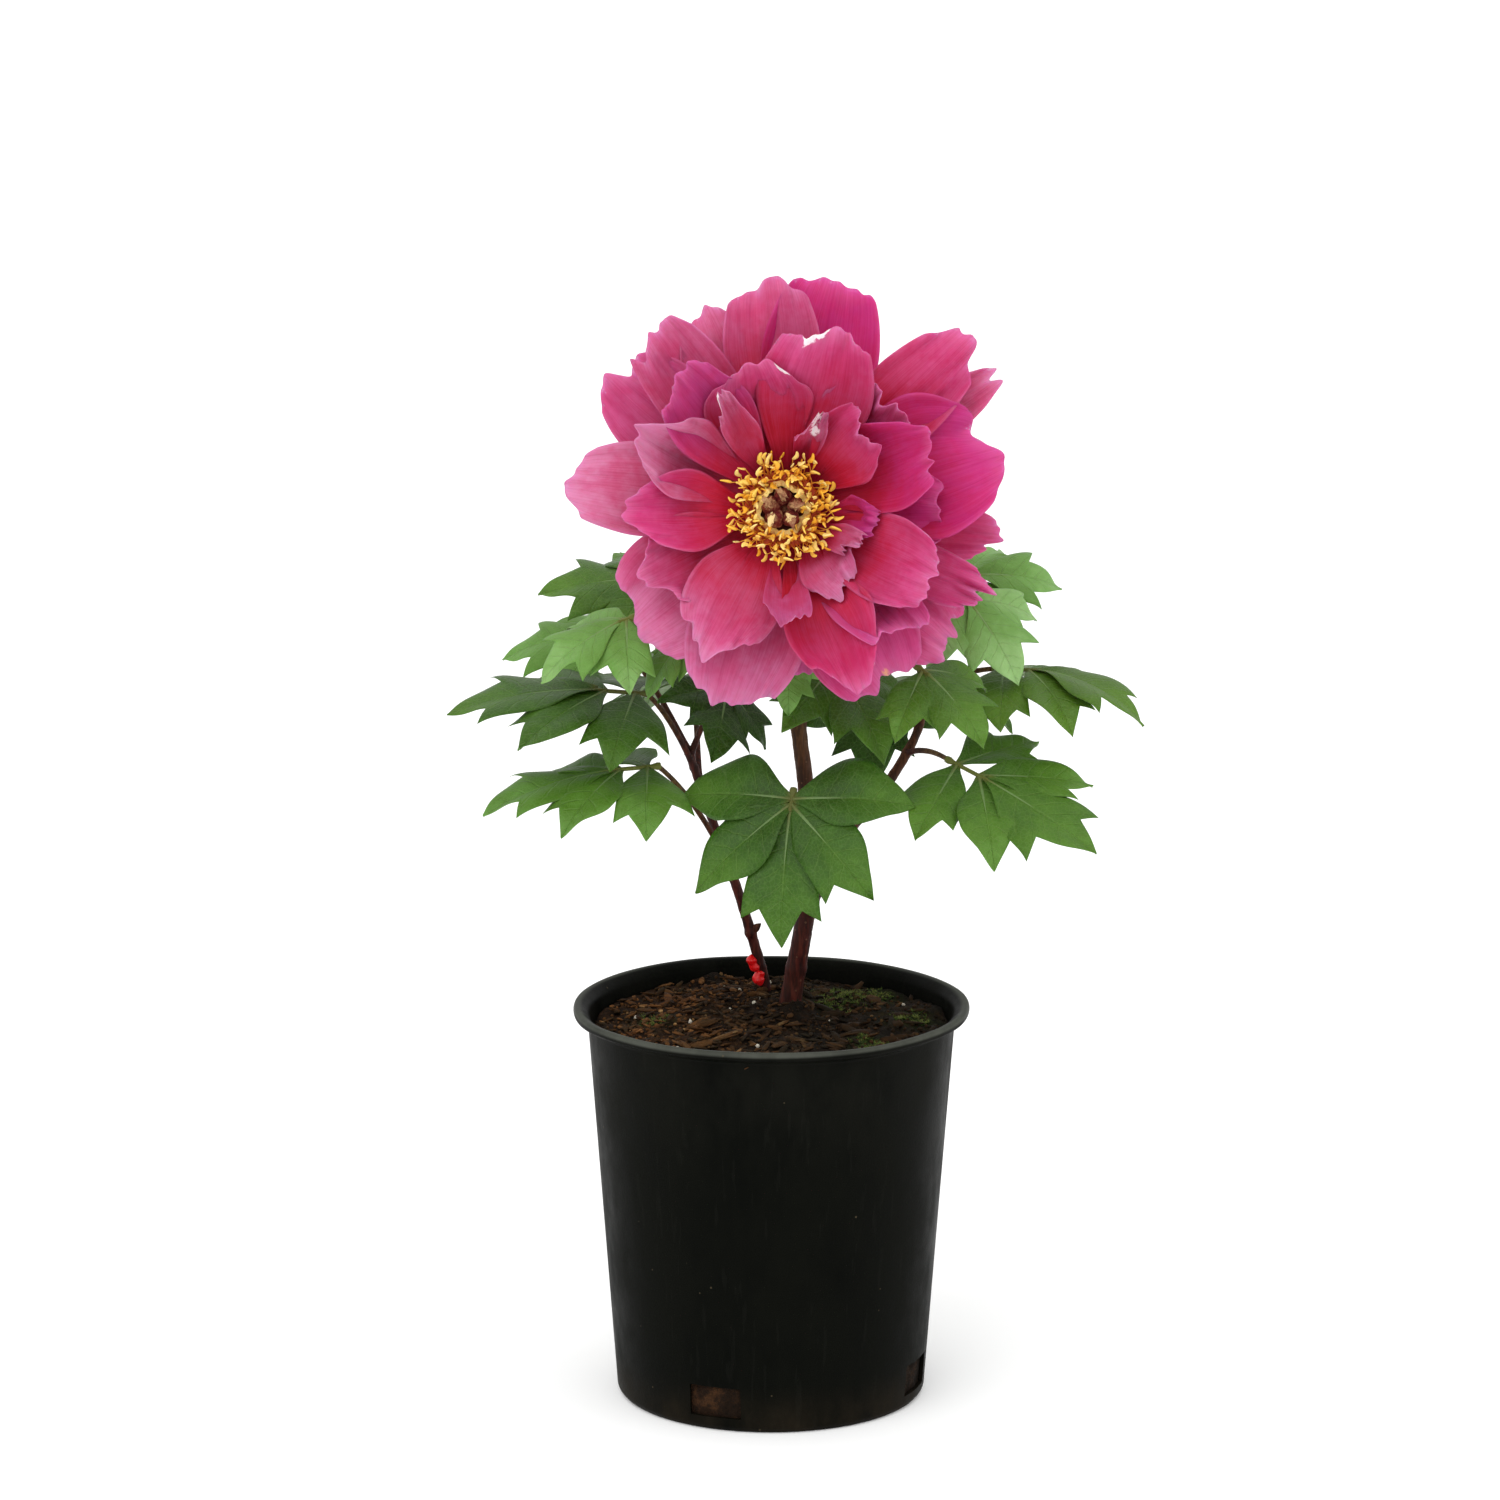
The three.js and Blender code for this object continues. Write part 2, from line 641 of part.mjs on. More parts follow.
// One petal: narrow at its claw, widest past the middle, with a round, notched and ruffled end.
function petalSolid(whorl, order, random) {
  const [clock, reach, width] = whorl.petals[order];
  const tilt = whorl.stagger * (order % 2 ? 1 : -1) + 2 * (random() - 0.5);
  const [first, last] = whorl.lean.map((lean) => (lean + tilt) * DEGREE);
  const phase = TURN * random();
  const notch = NOTCH.spread * (2 * random() - 1);
  const sweep = PETAL.sweep * (random() - 0.5);
  const meanSine = (Math.cos(first) - Math.cos(last)) / (last - first);
  const length = (reach - whorl.root) / meanSine;
  const bend = (last - first) / length;
  const surfaceAt = (v, u, h) => {
    const angle = first + bend * v * petalEnd(u, notch) * length;
    const half = (width / 2) * petalShape(v);
    const waves = v * v * Math.sin(4 * u + phase) + 0.5 * u * u * Math.sin(6 * v + phase);
    const rise = 0.5 * whorl.cup * half * u * u + whorl.ruffle * length * waves * v + h;
    const outward = whorl.root + (Math.cos(first) - Math.cos(angle)) / bend - rise * Math.cos(angle);
    const forward = whorl.height + (Math.sin(angle) - Math.sin(first)) / bend + rise * Math.sin(angle);
    const across = half * u * (1 - 0.12 * whorl.cup * u * u) + sweep * v * v * length;
    return atClock(clock, outward, across, forward);
  };
  return thinSolid(...petalFlat(whorl.grid), surfaceAt);
}

// All petals, rooted in one disc behind the stamens.
function makePetals() {
  const { radius, from, to, sides } = PETAL_DISC;
  const disc = turned(
    [
      [0, from],
      [radius - 4, from],
      [radius, from + 4],
      [radius - 1, to],
      [0, to],
    ],
    sides,
  );
  const random = randomFrom(7);
  const petals = WHORLS.flatMap((whorl) => whorl.petals.map((_, order) => petalSolid(whorl, order, random)));
  return onFlower(join([disc, ...petals]));
}

// A stamen: a thread that leans outwards, with a thick anther at its end.
function stamenSolid(order, length) {
  const share = (order + 0.5) / STAMENS.count;
  const profile = [
    [0, 0],
    [STAMENS.thread, 0.04 * length],
    [STAMENS.thread, 0.6 * length],
    [STAMENS.anther, 0.68 * length],
    [0, length],
  ];
  const points = profile.map(([r, z]) => new THREE.Vector2(r, z));
  const stamen = new THREE.LatheGeometry(points, 3)
    .rotateX(Math.PI / 2)
    .rotateY(lerp(...STAMENS.lean, share) * DEGREE)
    .translate(lerp(STAMEN_RING.inner + 1.2, STAMEN_RING.outer - 1.2, share), 0, STAMEN_RING.from + 0.6)
    .rotateZ(order * GOLDEN_ANGLE);
  return solidOfGeometry(stamen);
}

// All stamens, rooted in a ring round the seed pods.
function makeStamens() {
  const { inner, outer, from, to, sides } = STAMEN_RING;
  const section = [
    [inner, from],
    [outer, from],
    [outer, to],
    [inner, to],
    [inner, from],
  ];
  const random = randomFrom(23);
  const stamens = Array.from({ length: STAMENS.count }, (_, order) => {
    return stamenSolid(order, lerp(STAMENS.shortest, STAMENS.longest, random()));
  });
  return onFlower(join([turned(section, sides), ...stamens]));
}

// The pale cup round the seed pods.
function makeSheath() {
  const { radius, wall, floor, height } = SHEATH;
  const from = STAMEN_RING.from;
  const profile = [
    [0, from],
    [radius - 2, from],
    [radius, from + 2],
    [radius, from + height],
    [radius - wall, from + height + 0.6],
    [radius - wall, from + floor + 1],
    [radius - wall - 1, from + floor],
    [0, from + floor],
  ];
  return onFlower(turned(profile, SHEATH.sides));
}

// Seed pods, fused at their feet, each ending in a stigma.
function makeCarpels() {
  const { count, ring, radius, height, lean, firstAngle, sides } = CARPELS;
  const from = STAMEN_RING.from + SHEATH.floor + SEAT;
  const foot = [
    [0, from],
    [8, from],
    [9, from + 3],
    [0, from + 4],
  ];
  const profile = [
    [0, 0],
    [0.9, 0.2],
    [0.9, 0.5],
    [0.34, 0.84],
    [0, 1],
  ];
  const points = profile.map(([r, z]) => new THREE.Vector2(r * radius, z * height));
  const pods = Array.from({ length: count }, (_, i) => {
    const pod = new THREE.LatheGeometry(points, sides)
      .rotateX(Math.PI / 2)
      .rotateY(lean * DEGREE)
      .translate(ring, 0, from + 1)
      .rotateZ(firstAngle * DEGREE + (TURN * i) / count);
    return solidOfGeometry(pod);
  });
  return onFlower(join([turned(foot, 2 * sides), ...pods]));
}

// A sepal's outline, with its rib, and its triangles.
const SEPAL_FLAT = [
  [0, -0.6],
  [0, 0.6],
  [0.5, -1],
  [0.5, 0],
  [0.5, 1],
  [1, 0],
];
const SEPAL_FACES = [
  [0, 3, 1],
  [0, 2, 3],
  [1, 3, 4],
  [2, 5, 3],
  [3, 5, 4],
];

// The calyx: a green cup behind the petals, with sepals that spread from its rim.
function makeCalyx() {
  const { neck, radius, depth, sides } = CALYX;
  const profile = [
    [0, SEAT],
    [neck, SEAT],
    [0.75 * radius, 0.4 * depth],
    [radius, 0.8 * depth],
    [radius, depth],
    [0, depth],
  ];
  const sepals = Array.from({ length: SEPALS.count }, (_, i) => {
    return thinSolid(SEPAL_FLAT, SEPAL_FACES, (v, u, h) => {
      const outward = SEPALS.root + v * SEPALS.length;
      const forward = SEPALS.height - SEPALS.droop * v * v - SEPALS.curl * u * u + h;
      return atClock((-360 * i) / SEPALS.count, outward, (u * SEPALS.width) / 2, forward);
    });
  });
  return onFlower(join([turned(profile, sides), ...sepals]));
}

const plant = new THREE.Group();
plant.add(meshOf("nursery_pot", makePot(), COLOURS.pot, 0.6));
plant.add(meshOf("potting_soil", makeSoil(), COLOURS.soil, 0.95));
for (const cane of CANES) plant.add(meshOf(cane.name, makeCane(cane), COLOURS.cane, 0.6));
LEAVES.forEach((leaf, order) => plant.add(meshOf(leaf.name, makeLeaf(leaf, order), COLOURS.leaf, 0.5)));
plant.add(meshOf("bloom_petals", makePetals(), COLOURS.petal, 0.55));
plant.add(meshOf("bloom_stamens", makeStamens(), COLOURS.stamen, 0.6));
plant.add(meshOf("bloom_sheath", makeSheath(), COLOURS.sheath, 0.5));
plant.add(meshOf("bloom_carpels", makeCarpels(), COLOURS.carpel, 0.5));
plant.add(meshOf("bloom_calyx", makeCalyx(), COLOURS.calyx, 0.5));
plant.add(meshOf("stem_tie", makeTie(), COLOURS.tie, 0.45));

export default plant;
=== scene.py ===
# A potted Itoh peony: fine petals, leaves, canes, soil and pot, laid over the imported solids.
# Shapes are worked out in millimetres and written to meshes in metres. The bloom faces -Y.

import math

import bmesh
import bpy
import numpy as np
from mathutils import Matrix, Vector, noise


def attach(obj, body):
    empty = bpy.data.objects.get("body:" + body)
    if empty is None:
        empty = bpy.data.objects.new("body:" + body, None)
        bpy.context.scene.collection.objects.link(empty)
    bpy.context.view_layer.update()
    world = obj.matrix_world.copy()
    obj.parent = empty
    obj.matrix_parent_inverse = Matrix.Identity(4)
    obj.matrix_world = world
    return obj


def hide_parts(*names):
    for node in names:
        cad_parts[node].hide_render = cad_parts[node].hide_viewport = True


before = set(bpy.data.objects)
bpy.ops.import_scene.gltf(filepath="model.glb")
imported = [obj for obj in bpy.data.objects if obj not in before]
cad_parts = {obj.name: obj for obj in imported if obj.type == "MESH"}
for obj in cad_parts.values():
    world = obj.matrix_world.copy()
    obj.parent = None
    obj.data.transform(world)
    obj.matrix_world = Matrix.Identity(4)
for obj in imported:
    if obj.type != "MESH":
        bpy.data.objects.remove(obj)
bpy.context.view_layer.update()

MM = 0.001
TURN = 2 * math.pi
GOLDEN_ANGLE = math.radians(137.508)

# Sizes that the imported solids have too.
POT = {"height": 225, "rim": 111, "shoulder": 103, "foot": 87, "wall": 2, "floor": 5, "lip": 8, "bead": 4.6}
DRAIN = {"count": 4, "width": 30, "height": 18, "low": 8, "first_angle": -111}
FLOOR_HOLE = {"radius": 8, "ring": 50}
SOIL = {"level": 211, "mound": 8, "crown_y": 34, "spread": 60, "relief": 1.1}
BIG_CHIPS = {"count": 16, "margin": 14, "long": (9, 22), "wide": (4, 8), "thick": 3.4, "tilt": 0.25}
LEAFLET = {"fold": 0.32, "spread": 1.1, "wave": 0.1, "wave_turns": 9, "fullness": 1.14}
PETAL = {"claw": 0.16, "widest": 0.7, "narrowing": 0.1, "round_from": 0.58, "sweep": 0.06}
NOTCH = {"depth": 0.06, "width": 0.12, "spread": 0.6}
FLOWER = {"base": (6, -32, 511), "tilt": 14}
RING = {"inner": 15, "outer": 21, "low": 15.3, "high": 17.8}
STAMENS = {"count": 240, "short": 14, "long": 22, "lean": (-12, 48), "taller": 0.28}
SHEATH = {"radius": 14.6, "wall": 1.4, "floor": 1.2, "height": 9}
CARPELS = {"count": 5, "ring": 5.6, "radius": 5.6, "height": 18, "lean": 8, "first_angle": 18}
KNOB = 2.4
# Lumps of dark soil: place, size and height. Beds of moss: place and size.
DARK_LUMPS = [(-32, 90, 9, 7), (15, 2, 10, 6), (86, 30, 13, 4), (2, -40, 9, 2.5), (60, -62, 14, 2)]
MOSS_BEDS = [(42, 46, 20), (34, 22, 10), (58, 60, 16), (54, -40, 12), (-66, 2, 11), (78, 8, 14)]
# Bare soil round the canes: place and size.
CANE_FEET = [(11, 27, 10), (-3, 54, 6)]
# Splinters strewn on the soil: length, width and how many on a square metre.
SPLINTERS = [(10, 3.2, 6500), (6, 2.4, 12000), (15, 4.2, 1900), (4, 2.1, 15000)]

# Petals: clock position, reach, width, and how dust-pink, how violet and how fringed each one is. The
# dust-pink share is partly painted light, higher on the left.
# Poses: how far a petal's tip stands forward of its whorl, how far its sides close, and its twist.
WHORLS = {
    "outer_petals": {
        "root": 15, "height": 8.4, "lean": (80, 93), "stagger": 4, "cup": 0.3, "ruffle": 0.035,
        "fullness": 1.1, "grid": (44, 40),
        "poses": [
            (0, 0.05, 0.05), (3, 0.1, -0.16), (-2, 0.05, 0.12), (2, 0.1, 0.1), (-2, 0, -0.14), (2, 0.06, 0.1),
            (0, 0.16, -0.1), (-3, 0.05, 0.1), (2, 0, -0.14), (-3, 0.1, 0.1), (0, 0.1, -0.1), (2, 0.06, 0.12),
            (0, 0.1, -0.12), (-3, 0, 0.1), (3, 0.05, -0.1), (0, 0.05, 0.16),
        ],
        "petals": [
            (-81, 117, 50, 0.9, 0.0, 0.1), (-52, 119, 54, 0.5, 0.3, 0.2), (-36, 120, 46, 0.6, 0.1, 0.3),
            (-20, 118, 50, 0.6, 0.0, 0.1), (-3, 124, 52, 0.5, 0.1, 0.2), (14, 131, 62, 0.1, 0.6, 0.1),
            (49, 136, 46, 0.3, 0.1, 0.2), (56, 138, 34, 0.7, 0.0, 0.0), (73, 121, 76, 0.15, 0.6, 0.2),
            (97, 119, 36, 0.4, 0.2, 0.3), (114, 120, 30, 0.3, 0.1, 0.9), (129, 119, 50, 0.4, 0.1, 0.9),
            (148, 113, 62, 0.25, 0.2, 0.5), (174, 90, 50, 0.3, 0.4, 0.2), (195, 110, 62, 0.75, 0.2, 0.5),
            (232, 102, 70, 0.7, 0.1, 0.7),
        ],
    },
    "middle_petals": {
        "root": 17, "height": 11, "lean": (74, 49), "stagger": 6, "cup": 0.5, "ruffle": 0.05,
        "fullness": 1.22, "grid": (40, 36),
        "poses": [
            (-12, 0, 0.16), (13, 0.5, -0.24), (-6, 0.12, 0.2), (14, 0.15, -0.1), (-9, 0.1, 0.16),
            (2, 0.06, -0.2), (4, 0.2, 0.2), (0, 0, -0.2), (3, 0.2, 0.2), (5, 0.3, -0.24),
            (-12, 0.05, 0.16), (38, 0.05, -0.3), (-13, 0, 0.1), (-5, 0.1, -0.16),
        ],
        "petals": [
            (-92, 74, 40, 0.2, 0.0, 0.3), (-63, 90, 40, 0.9, 0.0, 0.2), (-38, 86, 42, 0.4, 0.7, 0.6),
            (-13, 85, 52, 0.3, 0.0, 0.4), (16, 90, 56, 0.3, 0.1, 0.5), (44, 86, 48, 0.4, 0.2, 0.8),
            (68, 88, 44, 0.15, 0.5, 0.3), (93, 84, 48, 0.1, 0.5, 0.4), (117, 90, 44, 0.3, 0.1, 0.7),
            (137, 99, 40, 0.4, 0.5, 0.4), (158, 94, 44, 0.2, 0.0, 0.3), (178, 84, 24, 0.9, 0.6, 0.1),
            (209, 78, 48, 0.55, 0.0, 0.6), (241, 80, 44, 0.45, 0.1, 0.4),
        ],
    },
    "inner_petals": {
        "root": 20, "height": 13.2, "lean": (66, 30), "stagger": 5, "cup": 0.6, "ruffle": 0.06,
        "fullness": 1.22, "grid": (36, 28),
        "poses": [
            (3, 0.35, -0.2), (15, 0.9, 0.7), (-2, 0.15, -0.25), (3, 0.4, 0.4), (3, 0.3, -0.3), (2, 0.25, 0.3),
        ],
        "petals": [
            (-28, 66, 18, 0.85, 0.0, 0.5), (21, 60, 15, 1.0, 0.0, 0.8), (48, 62, 38, 0.3, 0.1, 0.6),
            (98, 52, 22, 0.3, 0.9, 0.8), (118, 48, 16, 0.9, 0.1, 0.5), (143, 53, 30, 0.8, 0.1, 0.4),
        ],
    },
}
# Bleached or bruised spots: whorl, petal, place across and along, size, and 1 for bleached or -1 for bruised.
SPOTS = [
    ("middle_petals", 4, 0.35, 0.99, 0.11, 1), ("middle_petals", 4, 0.12, 1.0, 0.07, 1),
    ("middle_petals", 3, -0.75, 0.96, 0.08, 1), ("inner_petals", 0, 0.3, 1.0, 0.13, 1),
    ("inner_petals", 1, 0.1, 0.9, 0.2, 1), ("inner_petals", 1, -0.1, 0.68, 0.22, 0.8),
    ("outer_petals", 12, 0.1, 0.98, 0.07, -0.6),
]
# Lengthwise folds: whorl, petal, place across and depth.
FOLDS = [
    ("outer_petals", 0, 0.1, 3.4), ("outer_petals", 3, -0.4, 2.4), ("outer_petals", 6, 0.2, 3.2),
    ("outer_petals", 11, 0.3, 2.6), ("outer_petals", 14, -0.2, 2.6), ("middle_petals", 1, 0.0, 3.0),
    ("middle_petals", 5, 0.3, 2.4), ("middle_petals", 9, -0.1, 3.2), ("middle_petals", 12, 0.2, 2.2),
]

# Canes: points that each one passes through, radii at both ends, where along it turns olive, and the
# limbs whose leaves it bears. Buds: place along, heading and length. Knots: place along, swelling, spread.
CANE_MAIN = {
    "points": [
        (9, 30, 184), (11, 27, 217), (18, 20, 262), (24, 16, 300), (19, 13, 350), (13, 8, 400),
        (9, 6, 440), (7, 3, 478), (6, -3, 497), (6, -15, 506), (6, -32, 511),
    ],
    "radii": (6.1, 3.0), "olive": (0.34, 0.8), "limbs": ("main", "branch"),
    "buds": [(0.2, 20, 7), (0.27, 200, 6)],
    "knots": [(0.3, 0.3, 0.016), (0.27, 0.16, 0.01), (0.16, 0.1, 0.01), (0.1, 0.12, 0.02)],
}
CANE_LEFT = {
    "points": [(0, 58, 188), (-3, 54, 220), (-12, 48, 256), (-24, 40, 296), (-35, 34, 328), (-46, 30, 362)],
    "radii": (3.4, 2.2), "olive": (0.9, 1.4), "limbs": ("left",),
    "buds": [(0.37, -20, 7)],
    "knots": [(0.37, 0.25, 0.014), (0.6, 0.2, 0.012)],
}
BRANCH = {
    "from": 0.3, "radii": (4.2, 2), "points": [(42, 12, 320), (62, 8, 345), (80, 14, 374), (88, 22, 400)],
}
STALK = {"rise": 0.14, "radii": (1.8, 1.35)}
# The tie: name, place, radius, length, the share of the length below the place, lean and seed.
TIE = [
    ("wrap", (-6.4, 51.2, 226.4), 3.3, 9.6, 0.5, 0.12, 3),
    ("knot", (-8.4, 49.6, 230.2), 2.9, 10.4, 0, -0.28, 8),
]

# A leaflet's half outline: station along its rib, place along and across, and 1 at a sharp corner.
OUTLINES = {
    "plain": [(0, 0, 0.025, 1), (0.1, 0.11, 0.075, 0), (0.2, 0.27, 0.175, 0), (0.44, 0.54, 0.215, 0),
              (0.74, 0.82, 0.1, 0), (1, 1, 0.002, 1)],
    "toothed": [(0, 0, 0.025, 1), (0.1, 0.11, 0.075, 0), (0.2, 0.27, 0.175, 0), (0.38, 0.51, 0.225, 0),
                (0.56, 0.8, 0.26, 1), (0.64, 0.73, 0.14, 1), (1, 1, 0.002, 1)],
    "broad": [(0, 0, 0.025, 1), (0.1, 0.11, 0.1, 0), (0.2, 0.27, 0.25, 0), (0.44, 0.54, 0.305, 0),
              (0.74, 0.82, 0.15, 0), (1, 1, 0.002, 1)],
    "lobed": [(0, 0, 0.025, 1), (0.1, 0.11, 0.08, 0), (0.22, 0.34, 0.24, 0), (0.42, 0.7, 0.38, 1),
              (0.52, 0.62, 0.2, 1), (0.74, 0.82, 0.12, 0), (1, 1, 0.002, 1)],
}
# Leaflets: place along the leaf's stem, turn, pitch, length, and the outlines of both halves.
PATTERNS = {
    "fan": [
        (11, 0, -8, 76, "toothed", "toothed"), (8, 46, 1, 72, "plain", "toothed"),
        (8, -46, 1, 72, "plain", "plain"), (5, 94, 4, 68, "broad", "plain"),
        (5, -94, 4, 68, "plain", "broad"),
    ],
    "spray": [
        (25, 0, -2, 78, "toothed", "lobed"), (21, 45, -2, 66, "plain", "toothed"),
        (21, -45, -6, 66, "toothed", "plain"), (6, 76, -4, 62, "lobed", "toothed"),
        (6, -76, -4, 60, "toothed", "lobed"),
    ],
    "trio": [
        (9, 0, -6, 72, "lobed", "lobed"), (5.5, 64, -9, 62, "toothed", "lobed"),
        (5.5, -64, -9, 62, "lobed", "toothed"),
    ],
}
# Leaves: name, carrier, how far along it, joint, heading, pitch, roll, size, curl, pattern,
# then how pale and how yellow each one is. The paleness is partly each leaf's own tone and partly painted
# light: darker for leaves deep in the plant, paler for sheen-lit ones.
LEAVES = [
    ("leaf_front", "main", 0.31, (12, -48, 358), -104, -50, 2, 1.02, 26, "fan", 0.3, 0.2),
    ("leaf_left_low", "left", 0.6, (-63, -8, 363), 194, -2, -10, 1, 27, "spray", 0.52, 0.1),
    ("leaf_left_mid", "left", 0.95, (-69, 2, 402), 185, 5, -12, 1.1, 24, "spray", 0.28, 0.3),
    ("leaf_left_bright", "main", 0.66, (-76, -22, 450), 205, -12, -16, 0.8, 34, "trio", 0.76, 0.3),
    ("leaf_left_top", "main", 0.72, (-60, 40, 459), 178, 4, -26, 0.9, 18, "trio", 0.42, 0.3),
    ("leaf_left_far", "left", 1, (-90, 76, 422), 170, -2, -24, 0.86, 24, "trio", 0.58, 0.1),
    ("leaf_left_under", "main", 0.69, (-44, -20, 441), 211, -34, -8, 0.56, 26, "trio", 0.68, 0.4),
    ("leaf_centre_left", "left", 0.99, (-25, 20, 404), -92, -30, -30, 0.68, 20, "trio", 0.14, 0.2),
    ("leaf_right_low", "branch", 0.72, (98, -24, 370), -34, -18, 20, 1, 12, "spray", 0.44, 0.2),
    ("leaf_right_mid", "branch", 1, (125, 22, 412), -20, 2, 2, 0.92, 44, "spray", 0.38, 0.7),
    ("leaf_right_green", "branch", 0.93, (80, -40, 426), -42, -22, 16, 0.76, 36, "trio", 0.44, 0.4),
    ("leaf_right_pale", "main", 0.67, (106, 14, 456), -50, -30, 20, 0.78, 34, "trio", 0.86, 0.0),
    ("leaf_right_top", "main", 0.73, (106, 52, 458), -2, 10, 34, 0.76, 34, "trio", 0.74, 0.0),
    ("leaf_centre_right", "main", 0.58, (32, -12, 424), -50, -34, 6, 0.86, 20, "trio", 0.32, 0.4),
    ("leaf_under_bloom", "main", 0.76, (10, -40, 436), -96, -72, -2, 0.46, 12, "trio", 0.74, 0.3),
    ("leaf_back_left", "left", 0.9, (-44, 92, 392), 118, -6, 0, 0.95, 34, "trio", 0.34, 0.2),
    ("leaf_back_middle", "main", 0.6, (18, 74, 416), 86, -4, 0, 0.92, 34, "trio", 0.4, 0.3),
    ("leaf_back_right", "branch", 1, (86, 78, 394), 52, -6, 0, 0.95, 34, "trio", 0.3, 0.2),
    ("leaf_inner_right", "branch", 0.84, (58, 54, 400), -92, -58, 0, 0.76, 22, "trio", 0.14, 0.2),
]

# The stage, in metres. Lights: name, place, strength, and how wide each one looks in degrees.
FLOOR = {"reach": 12.0, "cells": 8}
LIGHTS = [
    ("key_light", (-1.3, -2.4, 2.4), 1.0, 55), ("fill_light", (2.1, -1.8, 1.5), 0.42, 70),
    ("top_light", (0.1, 0.2, 3.0), 0.5, 90),
]
CAMERA = {"lens": 153.7, "sensor": 36, "far": 60, "place": (-0.0118, -3.482, 1.1385), "pitch": 77.56}


def lerp(a, b, share):
    return a + (b - a) * share


def smooth(x, low, high):
    """0 below low and 1 above high, with an even turn between them."""
    t = np.clip((np.asarray(x, float) - low) / (high - low), 0, 1)
    return t * t * (3 - 2 * t)


def bell(x, middle, spread):
    """1 in the middle, falling away alike on both sides."""
    return np.exp(-(((x - middle) / spread) ** 2))


def random_from(seed):
    """Repeatable random numbers from 0 to 1, the same as in the part's source."""
    state = seed

    def draw():
        nonlocal state
        state = (state * 1664525 + 1013904223) % 4294967296
        return state / 4294967296

    return draw


def phases(draw, count):
    """Random places round a turn, for waves that start anywhere."""
    return [TURN * draw() for _ in range(count)]


def turned(axis, degrees):
    """The 3 by 3 matrix of a turn about an axis."""
    return np.array(Matrix.Rotation(math.radians(degrees), 3, axis))


def points_at(x, y, z):
    """Points from their places along each axis, spread to one shape."""
    return np.stack(np.broadcast_arrays(x, y, z), -1)


def bent(start, middle, end, steps):
    """Points along a bend from start to end that is drawn towards the middle."""
    t = np.linspace(0, 1, steps)[:, None]
    return (1 - t) ** 2 * start + 2 * t * (1 - t) * middle + t * t * end


def path_through(points):
    """A smooth curve through the points. The result gives places at shares of its length."""
    knots = np.array(points, float)
    knots = np.vstack([2 * knots[0] - knots[1], knots, 2 * knots[-1] - knots[-2]])

    def at_time(time):
        x = time * (len(knots) - 3)
        i = np.minimum(np.floor(x).astype(int), len(knots) - 4)
        w = (x - i)[:, None]
        a, b, c, d = (knots[i + k] for k in range(4))
        leave, arrive = 0.5 * (c - a), 0.5 * (d - b)
        cubic = 2 * b - 2 * c + leave + arrive
        square = -3 * b + 3 * c - 2 * leave - arrive
        return ((cubic * w + square) * w + leave) * w + b

    times = np.linspace(0, 1, 201)
    steps = np.linalg.norm(np.diff(at_time(times), axis=0), axis=1)
    lengths = np.concatenate([[0], np.cumsum(steps)])
    return lambda share: at_time(np.interp(np.atleast_1d(share) * lengths[-1], lengths, times))


# Meshes, made of parts: a part is its points, its faces and its marks, which become point attributes


def closed_sheet(front, back, **marks):
    """A closed part from a front and a back grid of points, joined round their edge."""
    rows, columns = front.shape[:2]
    count = rows * columns
    index = np.arange(count).reshape(rows, columns)
    face = np.stack([index[:-1, :-1], index[1:, :-1], index[1:, 1:], index[:-1, 1:]], -1).reshape(-1, 4)
    edge = np.concatenate([index[:, 0], index[-1, 1:], index[-2::-1, -1], index[0, -2:0:-1]])
    after = np.roll(edge, -1)
    rim = np.stack([after, edge, edge + count, after + count], -1)
    faces = np.concatenate([face, face[:, ::-1] + count, rim])
    points = np.concatenate([front.reshape(-1, 3), back.reshape(-1, 3)])
    spread = {k: np.tile(np.broadcast_to(v, (rows, columns)).ravel(), 2) for k, v in marks.items()}
    spread["back"] = np.repeat([0.0, 1.0], count)
    return points, faces.tolist(), spread


def turned_part(profile, sides, warp=None, **marks):
    """A closed part of revolution about Z, from (radius, height) pairs that start and end on the axis."""
    profile = np.array(profile, float)
    radius, height = profile[1:-1, :1], profile[1:-1, 1:]
    angle = np.arange(sides) * TURN / sides
    ring = points_at(radius * np.cos(angle), radius * np.sin(angle), height)
    if warp:
        ring = warp(ring, angle)
    points = np.vstack([ring.reshape(-1, 3), [0, 0, profile[0, 1]], [0, 0, profile[-1, 1]]])
    low, high = len(points) - 2, len(points) - 1
    index = np.arange(low).reshape(-1, sides)
    beside = np.roll(index, -1, 1)
    faces = np.stack([index[:-1], beside[:-1], beside[1:], index[1:]], -1).reshape(-1, 4).tolist()
    faces += [[low, b, a] for a, b in zip(index[0].tolist(), beside[0].tolist())]
    faces += [[high, a, b] for a, b in zip(index[-1].tolist(), beside[-1].tolist())]
    return points, faces, marks


def moved(part, turn, shift=(0, 0, 0)):
    """The part turned by a 3 by 3 matrix, then shifted."""
    points, faces, marks = part
    return points @ turn.T + np.asarray(shift, float), faces, marks


def on_flower(part):
    """Places a part made in the flower's frame: Z is its axis, X the viewer's right, Y up."""
    return moved(part, turned("X", 90 - FLOWER["tilt"]), FLOWER["base"])


def set_mark(mesh, label, values, kind="FLOAT", field="value"):
    """Writes a point attribute, new or old."""
    made = mesh.attributes.get(label) or mesh.attributes.new(label, kind, "POINT")
    made.data.foreach_set(field, np.asarray(values, np.float32).ravel())


